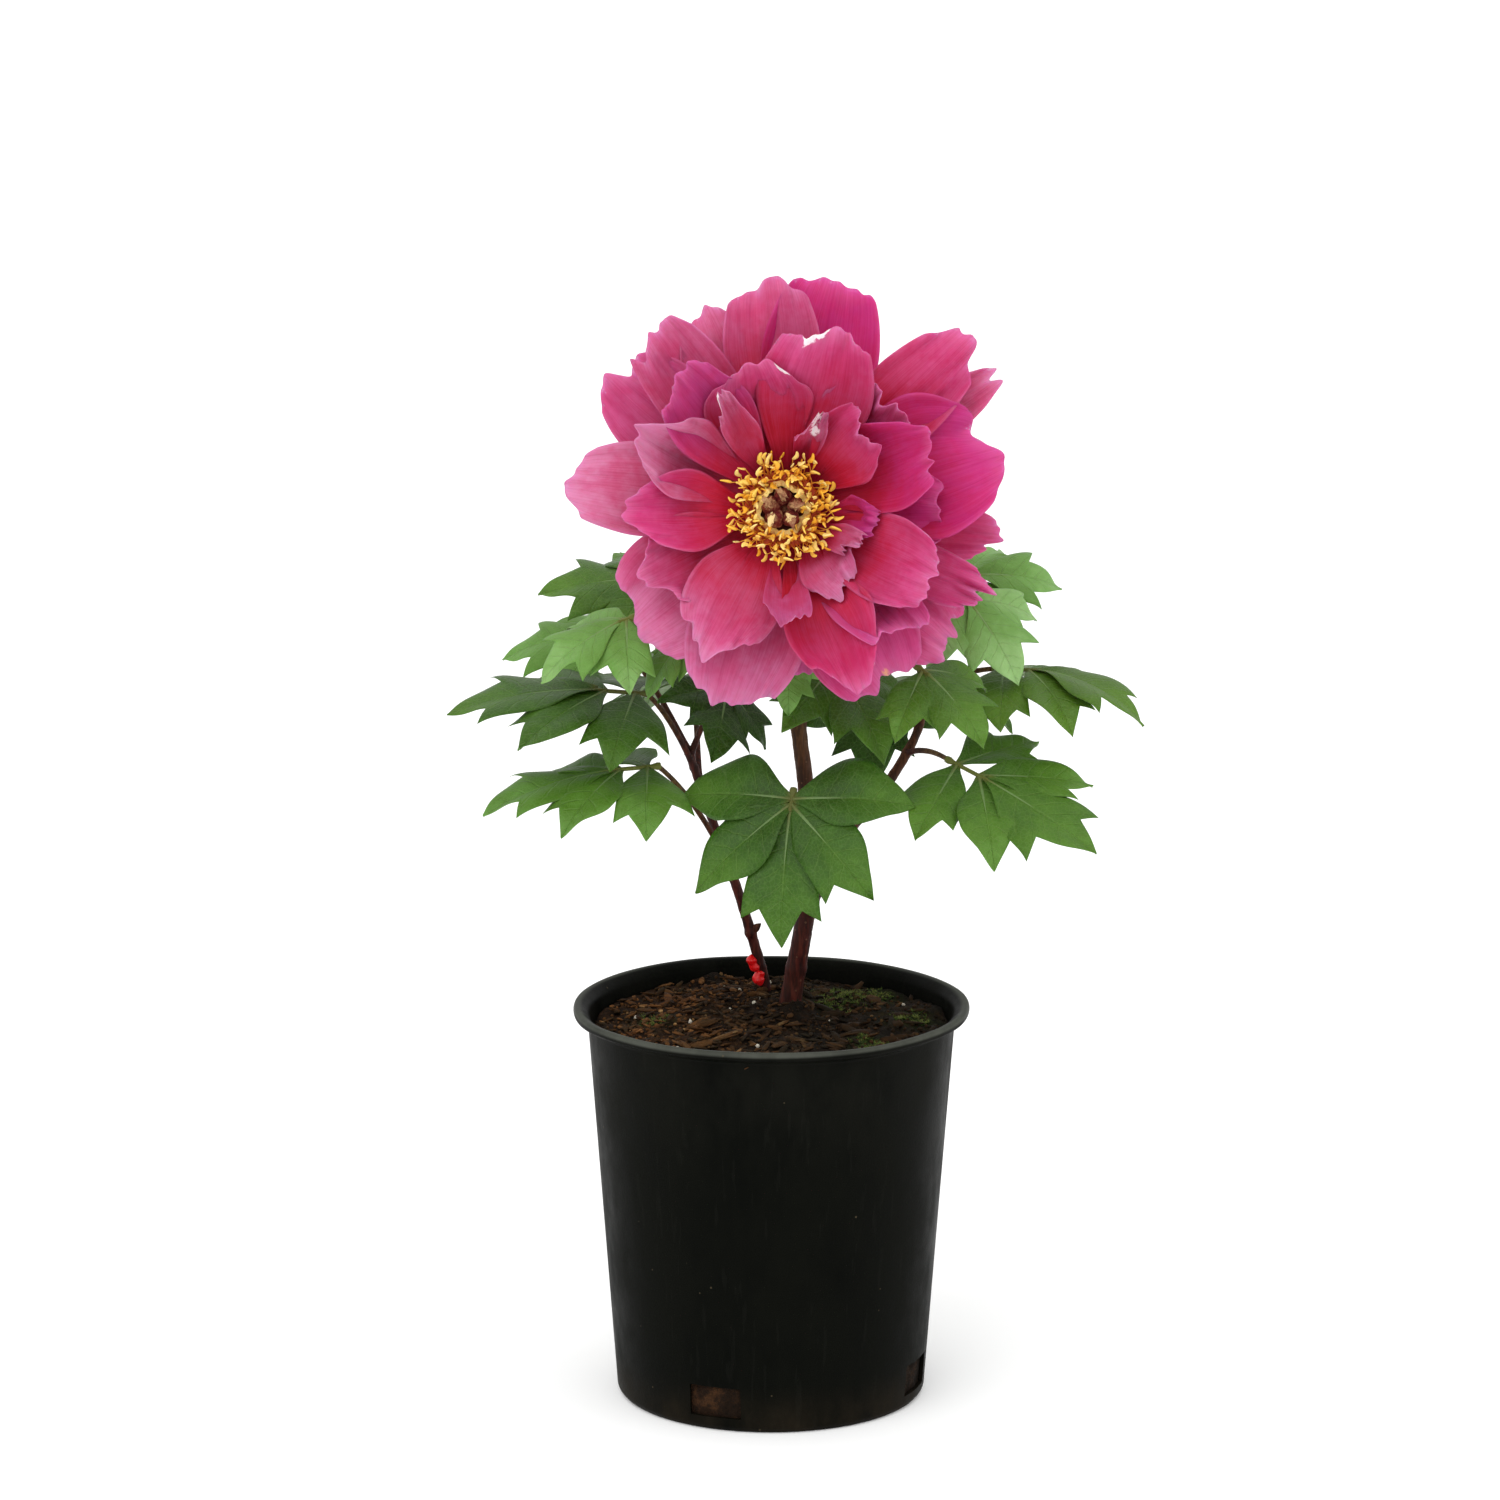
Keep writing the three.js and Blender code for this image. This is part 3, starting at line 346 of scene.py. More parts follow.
def mesh_of(name, parts, faced=True):
    """One mesh from parts. Parts that aren't faced have edges in place of faces."""
    cells, start = [], 0
    for points, part_cells, _ in parts:
        cells += [[i + start for i in cell] for cell in part_cells]
        start += len(points)
    mesh = bpy.data.meshes.new(name)
    places = (np.concatenate([part[0] for part in parts]) * MM).tolist()
    mesh.from_pydata(places, [] if faced else cells, cells if faced else [])
    for label in sorted({label for part in parts for label in part[2]}):
        values = [np.broadcast_to(marks.get(label, 0.0), len(points)) for points, _, marks in parts]
        set_mark(mesh, label, np.concatenate(values))
    return mesh


def shown(name, mesh):
    piece = bpy.data.objects.new(name, mesh)
    bpy.context.scene.collection.objects.link(piece)
    return piece


def set_smooth(mesh):
    """Shades the faces as one smooth skin."""
    mesh.polygons.foreach_set("use_smooth", np.ones(len(mesh.polygons), bool))


def piece_from(name, parts, finish):
    mesh = mesh_of(name, parts)
    set_smooth(mesh)
    mesh.materials.append(finish)
    return shown(name, mesh)


def joined(name, pieces):
    """Joins pieces into the first one, which takes the name."""
    first = pieces[0]
    with bpy.context.temp_override(
        active_object=first, object=first, selected_objects=pieces, selected_editable_objects=pieces
    ):
        bpy.ops.object.join()
    first.name = first.data.name = name
    return first


def baked_mesh(piece, name):
    """A plain mesh of the piece as its modifiers leave it."""
    bpy.context.view_layer.update()
    graph = bpy.context.evaluated_depsgraph_get()
    found = piece.evaluated_get(graph)
    mesh = bpy.data.meshes.new_from_object(found, preserve_all_data_layers=True, depsgraph=graph)
    mesh.name = name
    return mesh


def fix_normals(mesh):
    """Turns all faces of a closed mesh outwards."""
    work = bmesh.new()
    work.from_mesh(mesh)
    bmesh.ops.recalc_face_normals(work, faces=work.faces)
    work.to_mesh(mesh)
    work.free()


def add_to_plant(piece, slot, *nodes):
    """Rides the piece on the plant's one body and hides the solids it stands for. Its slot is not used."""
    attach(piece, "root")
    if nodes:
        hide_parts(*nodes)


# Node trees

GEOMETRY, OBJECT, MATERIAL = "NodeSocketGeometry", "NodeSocketObject", "NodeSocketMaterial"
VECTOR = "NodeSocketVector"
SOCKET_OF = {float: "NodeSocketFloat", int: "NodeSocketInt", tuple: VECTOR}


def colour(red, green, blue):
    """A colour as seen on a screen, 0 to 255, as the linear colour that a shader takes."""
    shares = [c / 255 for c in (red, green, blue)]
    return (*[c / 12.92 if c < 0.04 else ((c + 0.055) / 1.055) ** 2.4 for c in shares], 1.0)


class Value:
    """A node's output, which adds, multiplies and so on with numbers and other outputs."""

    def __init__(self, graph, socket):
        self.graph, self.socket = graph, socket

    def __add__(self, other):
        return self.graph.math("ADD", self, other)

    def __sub__(self, other):
        return self.graph.math("SUBTRACT", self, other)

    def __rsub__(self, other):
        return self.graph.math("SUBTRACT", other, self)

    def __mul__(self, other):
        return self.graph.math("MULTIPLY", self, other)

    def __abs__(self):
        return self.graph.math("ABSOLUTE", self)

    __radd__, __rmul__ = __add__, __mul__

    def span(self, low, high, start=0.0, end=1.0):
        """The value's share of low to high, as a number from start to end, with an even turn."""
        sockets = {"Value": self, "From Min": low, "From Max": high, "To Min": start, "To Max": end}
        return self.graph.add("ShaderNodeMapRange", 0, sockets, interpolation_type="SMOOTHSTEP")

    def ramp(self, *stops):
        """The colour at the value. Each stop is a place and a colour from 0 to 255."""
        made = self.graph.node("ShaderNodeValToRGB", {0: self})
        points = made.color_ramp.elements
        while len(points) < len(stops):
            points.new(0.5)
        for point, (place, *shade) in zip(points, stops):
            point.position = place
            point.color = colour(*shade)
        return Value(self.graph, made.outputs[0])


class Graph:
    """Adds nodes to a tree, with their values and links."""

    def __init__(self, tree):
        self.tree = tree

    def node(self, kind, inputs=(), **settings):
        made = self.tree.nodes.new(kind)
        for key, value in settings.items():
            setattr(made, key, value)
        for key, value in dict(inputs).items():
            self.feed(made.inputs[key], value)
        return made

    def add(self, kind, output, inputs=(), **settings):
        return Value(self, self.node(kind, inputs, **settings).outputs[output])

    def feed(self, socket, value):
        if isinstance(value, Value):
            self.tree.links.new(value.socket, socket)
        else:
            socket.default_value = value

    def math(self, operation, a, b=0.0, clamp=False):
        return self.add("ShaderNodeMath", 0, {0: a, 1: b}, operation=operation, use_clamp=clamp)

    def mix(self, share, a, b):
        return self.add("ShaderNodeMix", 2, {0: share, 6: a, 7: b}, data_type="RGBA")

    def vector(self, x, y, z):
        return self.add("ShaderNodeCombineXYZ", 0, {0: x, 1: y, 2: z})

    def noise(self, vector, scale, detail=2.0, roughness=0.5):
        sockets = {"Vector": vector, "Scale": scale, "Detail": detail, "Roughness": roughness}
        return self.add("ShaderNodeTexNoise", "Fac", sockets)

    def use(self, tree, **inputs):
        """A node group's outputs by name."""
        made = self.node("ShaderNodeGroup", inputs, node_tree=tree)
        return {socket.name: Value(self, socket) for socket in made.outputs}

    def give(self, **results):
        """Names and feeds the outputs of a tree, and returns the tree."""
        kind = GEOMETRY if self.tree.type == "GEOMETRY" else SOCKET_OF[float]
        for label in results:
            self.tree.interface.new_socket(label, in_out="OUTPUT", socket_type=kind)
        out = self.node("NodeGroupOutput").inputs
        for label, value in results.items():
            self.feed(out[label], value)
        return self.tree

    def named(self, label, data_type="FLOAT"):
        return self.add("GeometryNodeInputNamedAttribute", 0, {"Name": label}, data_type=data_type)

    def random(self, low, high, seed, data_type="FLOAT"):
        first, output = (2, 1) if data_type == "FLOAT" else (0, 0)
        sockets = {first: low, first + 1: high, "Seed": seed}
        return self.add("FunctionNodeRandomValue", output, sockets, data_type=data_type)

    def sown(self, points, bit, rotation, size):
        """An object's shape on each point."""
        shape = self.add("GeometryNodeObjectInfo", "Geometry", {"Object": bit})
        sockets = {"Points": points, "Instance": shape, "Rotation": rotation, "Scale": size}
        return self.add("GeometryNodeInstanceOnPoints", 0, sockets)

    def shaded(self, instances, seed):
        """Gives each instance a shade of its own, from 0 to 1."""
        sockets = {"Geometry": instances, "Name": "shade", "Value": self.random(0.0, 1.0, seed)}
        return self.add("GeometryNodeStoreNamedAttribute", 0, sockets, data_type="FLOAT", domain="INSTANCE")

    def solid(self, geometry, finish):
        """Turns instances into plain geometry and paints it."""
        real = self.add("GeometryNodeRealizeInstances", 0, {0: geometry})
        return self.add("GeometryNodeSetMaterial", 0, {"Geometry": real, "Material": finish})


def new_group(name, tree_kind="ShaderNodeTree", **inputs):
    """A tree's graph and its named inputs. An input is told by its default, or by its type if it has none."""
    tree = bpy.data.node_groups.new(name, tree_kind)
    for label, value in inputs.items():
        kind = SOCKET_OF.get(type(value), value)
        socket = tree.interface.new_socket(label, in_out="INPUT", socket_type=kind)
        if type(value) in SOCKET_OF:
            socket.default_value = value
    graph = Graph(tree)
    given = graph.node("NodeGroupInput").outputs
    return graph, {label: Value(graph, given[label]) for label in inputs}


# Shared effects


def make_mottle():
    """Soft blotches of two sizes, from 0 to 1."""
    graph, given = new_group("mottle", Vector=VECTOR, Scale=60.0, Spread=0.25)
    large = graph.noise(given["Vector"], given["Scale"], 3.0, 0.55)
    small = graph.noise(given["Vector"], given["Scale"] * 4.3, 4.0, 0.6)
    low, high = 0.5 - given["Spread"], 0.5 + given["Spread"]
    return graph.give(Blotch=(large * 0.65 + small * 0.35).span(low, high))


def make_specks():
    """Scattered round specks: a share of the cells of a pattern each hold one."""
    graph, given = new_group("specks", Vector=VECTOR, Scale=200.0, Share=0.1, Size=0.25)
    cells = graph.node("ShaderNodeTexVoronoi", {"Vector": given["Vector"], "Scale": given["Scale"]})
    shade, distance = (Value(graph, cells.outputs[name]) for name in ("Color", "Distance"))
    chance = graph.add("ShaderNodeSeparateColor", 0, {0: shade})
    spot = distance.span(given["Size"] * 0.6, given["Size"], 1.0, 0.0)
    return graph.give(Speck=graph.math("LESS_THAN", chance, given["Share"]) * spot)


def make_fibres():
    """Long fibres along one direction, with how light each is and how high it stands."""
    graph, given = new_group("fibres", Vector=VECTOR, Stretch=(1.0, 1.0, 0.1), Scale=400.0)
    sockets = {0: given["Vector"], 1: given["Stretch"]}
    drawn = graph.add("ShaderNodeVectorMath", 0, sockets, operation="MULTIPLY")
    coarse = graph.noise(drawn, given["Scale"], 3.0, 0.6)
    fine = graph.noise(drawn, given["Scale"] * 3.0, 2.0, 0.6)
    return graph.give(Streak=coarse.span(0.3, 0.7), Height=coarse + fine * 0.4)


def make_fan_veins():
    """Veins that fan out from a petal's claw: lines that follow its length, branch and waver."""
    graph, given = new_group("fan_veins", Along=0.0, Across=0.0, Petal=0.0, Count=12.0)
    along, across, own = given["Along"] * 1.6, given["Across"] * given["Count"], given["Petal"] * 17.0
    coarse = graph.noise(graph.vector(across, along, own), 1.0)
    fine = graph.noise(graph.vector(across * 3.1, along * 1.5, own), 1.0, 3.0, 0.55)
    vein = abs(coarse - 0.5).span(0.0, 0.06, 1.0, 0.0)
    return graph.give(Vein=vein, Streak=fine.span(0.32, 0.68), Height=fine * 0.6 - vein * 0.35)


def make_leaf_veins():
    """A leaflet's rib, its side veins and the network between them."""
    graph, given = new_group("leaf_veins", Rib=0.0, Station=0.0, Vector=VECTOR, Count=9.0)
    rib = given["Rib"]
    waver = graph.noise(given["Vector"], 90.0, 1.0) * 0.5
    turns = given["Station"] * given["Count"] - rib * 0.35 + waver
    line = rib.span(0.01, 0.06, 1.0, 0.0)
    side = abs(graph.math("FRACT", turns) - 0.5).span(0.02, 0.09, 1.0, 0.0) * rib.span(0.5, 1.0, 1.0, 0.25)
    sockets = {"Vector": given["Vector"], "Scale": 420.0}
    cells = graph.add("ShaderNodeTexVoronoi", "Distance", sockets, feature="DISTANCE_TO_EDGE")
    web = cells.span(0.0, 0.12, 1.0, 0.0)
    return graph.give(Line=line, Side=side, Web=web, Height=1.0 - (line + side * 0.7 + web * 0.18))


mottle, specks, fibres = make_mottle(), make_specks(), make_fibres()
fan_veins, leaf_veins = make_fan_veins(), make_leaf_veins()


# Finishes


class Finish(Graph):
    """A material's graph, with values on its own shader's sockets."""

    def __init__(self, name, specular, **sockets):
        self.material = bpy.data.materials.new(name)
        self.material.use_nodes = True
        super().__init__(self.material.node_tree)
        self.shader = self.tree.nodes["Principled BSDF"].inputs
        for key, value in {"Specular_IOR_Level": specular, **sockets}.items():
            self.shader[key.replace("_", " ")].default_value = value
        self.place = self.add("ShaderNodeTexCoord", "Object")

    def mark(self, name):
        return self.add("ShaderNodeAttribute", "Fac", attribute_name=name)

    def marks(self, *names):
        return [self.mark(name) for name in names]

    def grain(self, scale, detail=2.0, roughness=0.5):
        return self.noise(self.place, scale, detail, roughness)

    def blotch(self, scale, spread, place=None):
        return self.use(mottle, Vector=place or self.place, Scale=scale, Spread=spread)["Blotch"]

    def specks(self, scale, share, size):
        return self.use(specks, Vector=self.place, Scale=scale, Share=share, Size=size)["Speck"]

    def fibres(self, stretch, scale):
        found = self.use(fibres, Vector=self.place, Stretch=stretch, Scale=scale)
        return found["Streak"], found["Height"]

    def edge_of(self, along, across, along_from, across_from):
        """1 along the far end and the sides of a sheet."""
        return self.math("MAXIMUM", along.span(along_from, 1.0), abs(across).span(across_from, 1.0))

    def over(self, skin, *layers):
        """The skin under layers that are each a share and a colour from 0 to 255."""
        for share, *shade in layers:
            skin = self.mix(share, skin, colour(*shade))
        return skin

    def done(self, skin, roughness, relief=None, depth=0.0, strength=1.0):
        """Feeds the shader with the skin, the roughness and the relief, whose depth is in metres."""
        self.feed(self.shader["Base Color"], skin)
        self.feed(self.shader["Roughness"], roughness)
        if relief:
            bump = {"Height": relief, "Distance": depth, "Strength": strength}
            self.feed(self.shader["Normal"], self.add("ShaderNodeBump", 0, bump))
        return self.material


def make_petal_finish():
    """Pink that fades towards the end, redder and darker at the claw partly as painted shade, with dust-pink
    places partly from painted light, and violet and bleached places.
    """
    finish = Finish(
        "petal_pink", 0.09, Sheen_Weight=0.03, Sheen_Roughness=0.5, Sheen_Tint=colour(255, 150, 200),
        Subsurface_Weight=0.4, Subsurface_Radius=(1.0, 0.3, 0.5), Subsurface_Scale=0.0018,
    )
    along, across, petal, dusty, violet = finish.marks("along", "across", "petal", "dusty", "violet")
    veins = finish.use(fan_veins, Along=along, Across=across, Petal=petal, Count=15.0)
    streak, blotch = veins["Streak"], finish.blotch(42.0, 0.22)
    drift = along + (streak - 0.5) * 0.07 + (petal - 0.5) * 0.2 + (blotch - 0.5) * 0.14
    # Darkest at the claw: partly the petals' own crimson base, partly painted shade deep in the bloom.
    fresh = drift.ramp(
        (0.0, 122, 1, 8), (0.26, 170, 2, 22), (0.48, 176, 6, 48), (0.74, 178, 18, 84), (1.0, 196, 46, 120)
    )
    dust = drift.ramp((0.0, 124, 8, 24), (0.26, 168, 36, 70), (0.6, 180, 86, 122), (1.0, 198, 124, 160))
    # Dust-pink share: partly real bloom on the petals, partly painted light, higher on the left-hand petals,
    # plus a painted highlight along the margins. The paler backs are the petals' own.
    edge = finish.edge_of(along, across, 0.86, 0.86)
    dust_and_light = dusty * blotch.span(0.0, 1.0, 0.6, 1.15) + edge * 0.3
    dust_and_light = finish.math("ADD", dust_and_light, finish.mark("back") * 0.35, clamp=True)
    glow = violet * along.span(0.25, 0.8, 0.1, 0.7) * blotch.span(0.1, 0.9, 0.5, 1.0)
    ragged = finish.mark("faded") * finish.grain(260.0, 3.0, 0.6).span(0.3, 0.62, 0.35, 1.3)
    skin = finish.over(
        finish.mix(dust_and_light, fresh, dust), (glow, 166, 22, 122), (veins["Vein"] * 0.16, 138, 12, 54),
        (streak * 0.05, 214, 110, 152), (ragged.span(0.3, 0.62), 248, 230, 236),
        (ragged.span(-0.3, -0.62, 0.0, 0.85), 222, 160, 118),
    )
    relief = veins["Height"] + finish.grain(1500.0) * 0.12
    return finish.done(skin, streak.span(0.0, 1.0, 0.46, 0.62), relief, 0.0004, 0.3)


def make_leaf_finish():
    """Leaf green from dark to pale, veined, duller beneath, and browner on the stems."""
    finish = Finish(
        "leaf_green", 0.2, Subsurface_Weight=0.1, Subsurface_Radius=(0.35, 1.0, 0.15), Subsurface_Scale=0.0012
    )
    rib, station, pale, yellow = finish.marks("rib", "station", "pale", "yellow")
    veins = finish.use(leaf_veins, Rib=rib, Station=station, Vector=finish.place, Count=8.0)
    blotch = finish.blotch(38.0, 0.22)
    # The pale mark is partly painted light and shade: leaves deep in the plant are darker, sheen-lit leaves
    # paler.
    tone = pale + (blotch - 0.5) * 0.18 + station.span(0.0, 1.0, -0.14, 0.1)
    blade = tone.ramp(
        (0.0, 12, 34, 4), (0.25, 38, 74, 8), (0.5, 72, 110, 30), (0.75, 102, 146, 68), (1.0, 144, 182, 116)
    )
    blade = finish.over(blade, (yellow * 0.4, 90, 118, 22), (veins["Web"] * 0.12, 120, 156, 84))
    skin = finish.mix(finish.mark("back"), blade, finish.over(blade, (0.5, 122, 146, 98)))
    skin = finish.over(skin, (veins["Side"] * 0.07, 130, 160, 84), (veins["Line"] * 0.09, 126, 158, 80))
    stalk = finish.mix(pale.span(0.1, 0.7), colour(74, 74, 34), colour(104, 112, 48))
    skin = finish.mix(finish.mark("stem"), skin, stalk)
    return finish.done(skin, blotch.span(0.0, 1.0, 0.34, 0.54), veins["Height"], 0.0005, 0.8)


def make_cane_finish():
    """Dark red bark with pale pores, olive where the cane is young."""
    finish = Finish("cane_bark", 0.18)
    streak, height = finish.fibres((1.0, 1.0, 0.12), 420.0)
    blotch, pores = finish.blotch(70.0, 0.2), finish.specks(360.0, 0.2, 0.3)
    old = streak.ramp((0.0, 28, 7, 7), (0.5, 54, 15, 13), (1.0, 84, 32, 24))
    old = finish.over(old, (blotch * 0.3, 82, 48, 32))
    fresh = streak.ramp((0.0, 66, 46, 22), (1.0, 106, 88, 44))
    skin = finish.over(finish.mix(finish.mark("green"), old, fresh), (pores * 0.45, 118, 84, 62))
    return finish.done(skin, blotch.span(0.0, 1.0, 0.5, 0.72), height + pores * 0.5, 0.0006, 0.8)


def make_pot_finish():
    """Black plastic with painted sheen towards the rim, soiled at the foot, and a painted highlight on the
    lip.
    """
    finish = Finish("pot_plastic", 0.025)
    x, y, z = (Value(finish, s) for s in finish.node("ShaderNodeSeparateXYZ", {0: finish.place}).outputs)
    squat = finish.add("ShaderNodeMapping", 0, {"Vector": finish.place, "Scale": (1.0, 1.0, 0.6)})
    blotch = finish.blotch(24.0, 0.24, squat)
    dust, grit = finish.specks(62.0, 0.05, 0.07), finish.specks(150.0, 0.05, 0.12)
    scratch, _ = finish.fibres((1.0, 1.0, 0.08), 260.0)
    high, rim = POT["height"], POT["rim"]
    away = finish.math("SQRT", x * x + y * y)
    # Mask of the lip's outer bead, where a painted highlight lies.
    lip = z.span((high - 3.2) * MM, (high - 1.4) * MM) * away.span((rim - 5.5) * MM, (rim - 2.5) * MM)
    skin = finish.over(
        finish.mix(blotch, colour(5, 6, 4), colour(11, 12, 8)),
        # Painted sheen: the wall grows lighter towards the rim.
        (z.span(130 * MM, 216 * MM, 0.0, 0.55) * blotch, 22, 22, 18),
        # Painted highlight along the lip's bead.
        (lip * blotch.span(0.0, 1.0, 0.55, 0.95), 76, 78, 71),
        (scratch.span(0.85, 1.0) * 0.1, 34, 34, 30), (z.span(30 * MM, 0.0, 0.0, 0.5) * blotch, 46, 38, 28),
        (grit * 0.35, 96, 84, 64), (dust * 0.6, 132, 116, 88),
    )
    relief = finish.grain(900.0) + finish.math("MAXIMUM", dust, grit) * 2.0
    return finish.done(skin, blotch.span(0.0, 1.0, 0.36, 0.58), relief, 0.0003, 0.35)


def make_soil_finish():
    """Brown bark mix, darker towards the right and on its lumps, and green in its moss beds."""
    finish = Finish("bark_mix", 0.1)
    moss, dark = finish.marks("moss", "dark")
    grain = finish.grain(700.0, 4.0, 0.7)
    tone = finish.blotch(90.0, 0.22) * 0.5 + grain * 0.5
    skin = tone.ramp((0.2, 14, 9, 6), (0.5, 38, 24, 14), (0.8, 74, 48, 28))
    skin = finish.over(skin, (dark * 0.75, 14, 12, 8), (moss * grain.span(0.4, 0.6), 44, 56, 20))
    return finish.done(skin, grain.span(0.3, 0.7, 0.85, 1.0), grain, 0.0012)


def make_chip_finish():
    """Splinters from dark to pale, each with a shade of its own."""
    finish = Finish("bark_chip", 0.1)
    shade, dark = finish.marks("shade", "dark")
    streak, height = finish.fibres((0.5, 1.0, 1.0), 300.0)
    skin = (shade * 0.75 + streak * 0.3).ramp(
        (0.05, 24, 13, 7), (0.35, 50, 29, 14), (0.62, 84, 51, 25), (0.88, 120, 78, 42), (1.0, 168, 130, 86)
    )
    skin = finish.over(skin, (finish.blotch(34.0, 0.16) * 0.55, 50, 42, 24), (dark * 0.82, 22, 19, 12))
    return finish.done(skin, streak.span(0.0, 1.0, 0.75, 0.95), height, 0.0008, 0.9)


def make_moss_finish():
    finish = Finish("moss_green", 0.2, Subsurface_Weight=0.1)
    grain = finish.grain(900.0)
    tone = finish.mark("shade") * 0.7 + grain * 0.3
    skin = tone.ramp((0.1, 22, 32, 8), (0.5, 52, 68, 22), (0.9, 92, 106, 44))
    return finish.done(skin, grain.span(0.3, 0.7, 0.7, 0.9), grain, 0.0004, 0.6)


def make_grit_finish():
    finish = Finish("white_grit", 0.3)
    grain = finish.grain(1200.0, 3.0)
    skin = grain.ramp((0.3, 150, 138, 118), (0.7, 226, 220, 206))
    return finish.done(skin, grain.span(0.3, 0.7, 0.7, 0.95), grain, 0.0005, 0.8)


def make_anther_finish():
    finish = Finish("stamen_gold", 0.3, Subsurface_Weight=0.08, Subsurface_Scale=0.001)
    grain = finish.grain(1800.0)
    skin = (finish.mark("shade") * 0.7 + grain * 0.35).ramp(
        (0.1, 224, 146, 30), (0.35, 244, 184, 54), (0.65, 252, 214, 98), (1.0, 254, 236, 160)
    )
    return finish.done(skin, grain.span(0.3, 0.7, 0.55, 0.8), grain, 0.0003, 0.7)


def make_thread_finish():
    finish = Finish("thread_orange", 0.3, Subsurface_Weight=0.1)
    grain = finish.grain(1400.0)
    tone = finish.mark("along") + (grain - 0.5) * 0.3
    skin = tone.ramp((0.0, 190, 62, 26), (0.4, 228, 132, 40), (1.0, 244, 188, 68))
    return finish.done(skin, grain.span(0.3, 0.7, 0.45, 0.65))


def make_sheath_finish():
    finish = Finish("sheath_cream", 0.3, Subsurface_Weight=0.15, Subsurface_Scale=0.0015)
    blotch = finish.blotch(160.0, 0.22)
    tone = finish.mark("rise") + (blotch - 0.5) * 0.5
    skin = tone.ramp((0.1, 112, 36, 24), (0.42, 190, 130, 66), (0.8, 248, 214, 132))
    return finish.done(skin, blotch.span(0.0, 1.0, 0.45, 0.65), finish.grain(900.0, 3.0), 0.0004, 0.6)


def make_carpel_finish():
    """Maroon pods with pale down, under cream crests."""
    finish = Finish("carpel_maroon", 0.15)
    rise, shade = finish.marks("rise", "shade")
    blotch, grain = finish.blotch(190.0, 0.2), finish.grain(1500.0, 3.0)
    down = blotch.ramp((0.1, 84, 16, 24), (0.55, 118, 44, 38), (1.0, 176, 132, 92))
    crest = finish.mix(blotch, colour(112, 50, 42), colour(190, 150, 104))
    crest = finish.over(crest, (shade.span(0.4, 0.85), 228, 200, 140))
    skin = finish.mix(rise.span(0.55, 0.95), down, crest)
    return finish.done(skin, grain.span(0.3, 0.7, 0.6, 0.85), grain, 0.0005, 0.8)


def make_calyx_finish():
    finish = Finish("calyx_green", 0.3, Subsurface_Weight=0.1, Subsurface_Scale=0.001)
    along, across, back = finish.marks("along", "across", "back")
    veins = finish.use(fan_veins, Along=along, Across=across, Petal=3.0, Count=6.0)
    blotch = finish.blotch(70.0, 0.22)
    skin = finish.over(
        finish.mix(blotch, colour(84, 124, 62), colour(132, 164, 98)), (veins["Vein"] * 0.3, 170, 190, 130),
        (finish.edge_of(along, across, 0.75, 0.7) * 0.6, 150, 54, 70), (back * 0.25, 150, 176, 120),
    )
    return finish.done(skin, blotch.span(0.0, 1.0, 0.45, 0.6), veins["Height"], 0.0003, 0.6)


def make_tie_finish():
    finish = Finish("tie_red", 0.4, Subsurface_Weight=0.1, Subsurface_Scale=0.001)
    blotch = finish.blotch(150.0, 0.25)
    skin = finish.mix(blotch, colour(212, 8, 14), colour(246, 26, 30))
    skin = finish.over(skin, (finish.specks(500.0, 0.15, 0.3) * 0.4, 110, 30, 22))
    return finish.done(skin, blotch.span(0.0, 1.0, 0.25, 0.45), blotch, 0.0005, 0.5)


petal_pink, leaf_green, cane_bark = make_petal_finish(), make_leaf_finish(), make_cane_finish()
pot_plastic, bark_mix, bark_chip = make_pot_finish(), make_soil_finish(), make_chip_finish()
moss_green, white_grit = make_moss_finish(), make_grit_finish()
stamen_gold, thread_orange = make_anther_finish(), make_thread_finish()
sheath_cream, carpel_maroon = make_sheath_finish(), make_carpel_finish()
calyx_green, tie_red = make_calyx_finish(), make_tie_finish()


# Grown pieces


def make_stem_tree():
    """Round stems along lines, as thick as each point says, with a lightly uneven skin."""
    graph, given = new_group(
        "stems_along_lines", "GeometryNodeTree",
        Lines=GEOMETRY, Sides=10, Relief=0.0002, Grain=300.0, Finish=MATERIAL,
    )
    curve = graph.add("GeometryNodeMeshToCurve", 0, {0: given["Lines"]})
    ring = graph.add("GeometryNodeCurvePrimitiveCircle", 0, {"Resolution": given["Sides"], "Radius": 1.0})
    sockets = {"Curve": curve, "Profile Curve": ring, "Scale": graph.named("thickness"), "Fill Caps": True}
    tube = graph.add("GeometryNodeCurveToMesh", 0, sockets)
    lumps = graph.noise(graph.add("GeometryNodeInputPosition", 0), given["Grain"]) - 0.5
    sockets = {0: graph.add("GeometryNodeInputNormal", 0), "Scale": lumps * given["Relief"]}
    push = graph.add("ShaderNodeVectorMath", 0, sockets, operation="SCALE")
    uneven = graph.add("GeometryNodeSetPosition", 0, {"Geometry": tube, "Offset": push})
    soft = graph.add("GeometryNodeSetShadeSmooth", 0, {0: uneven})
    return graph.give(Stems=graph.solid(soft, given["Finish"]))


def make_anther_tree():
    """An anther on each point, along the point's aim and turned about itself at random."""
    graph, given = new_group(
        "anthers_on_points", "GeometryNodeTree", Points=GEOMETRY, Anther=OBJECT, Seed=5, Finish=MATERIAL
    )
    aim = {"Vector": graph.named("aim", "FLOAT_VECTOR")}
    facing = graph.add("FunctionNodeAlignRotationToVector", 0, aim, axis="Z")
    spin = {"Axis": (0.0, 0.0, 1.0), "Angle": graph.random(0.0, TURN, given["Seed"])}
    both = {"Rotation": facing, "Rotate By": graph.add("FunctionNodeAxisAngleToRotation", 0, spin)}
    rotation = graph.add("FunctionNodeRotateRotation", 0, both, rotation_space="LOCAL")
    sown = graph.sown(given["Points"], given["Anther"], rotation, graph.named("size"))
    return graph.give(Anthers=graph.solid(graph.shaded(sown, given["Seed"] + 1.0), given["Finish"]))


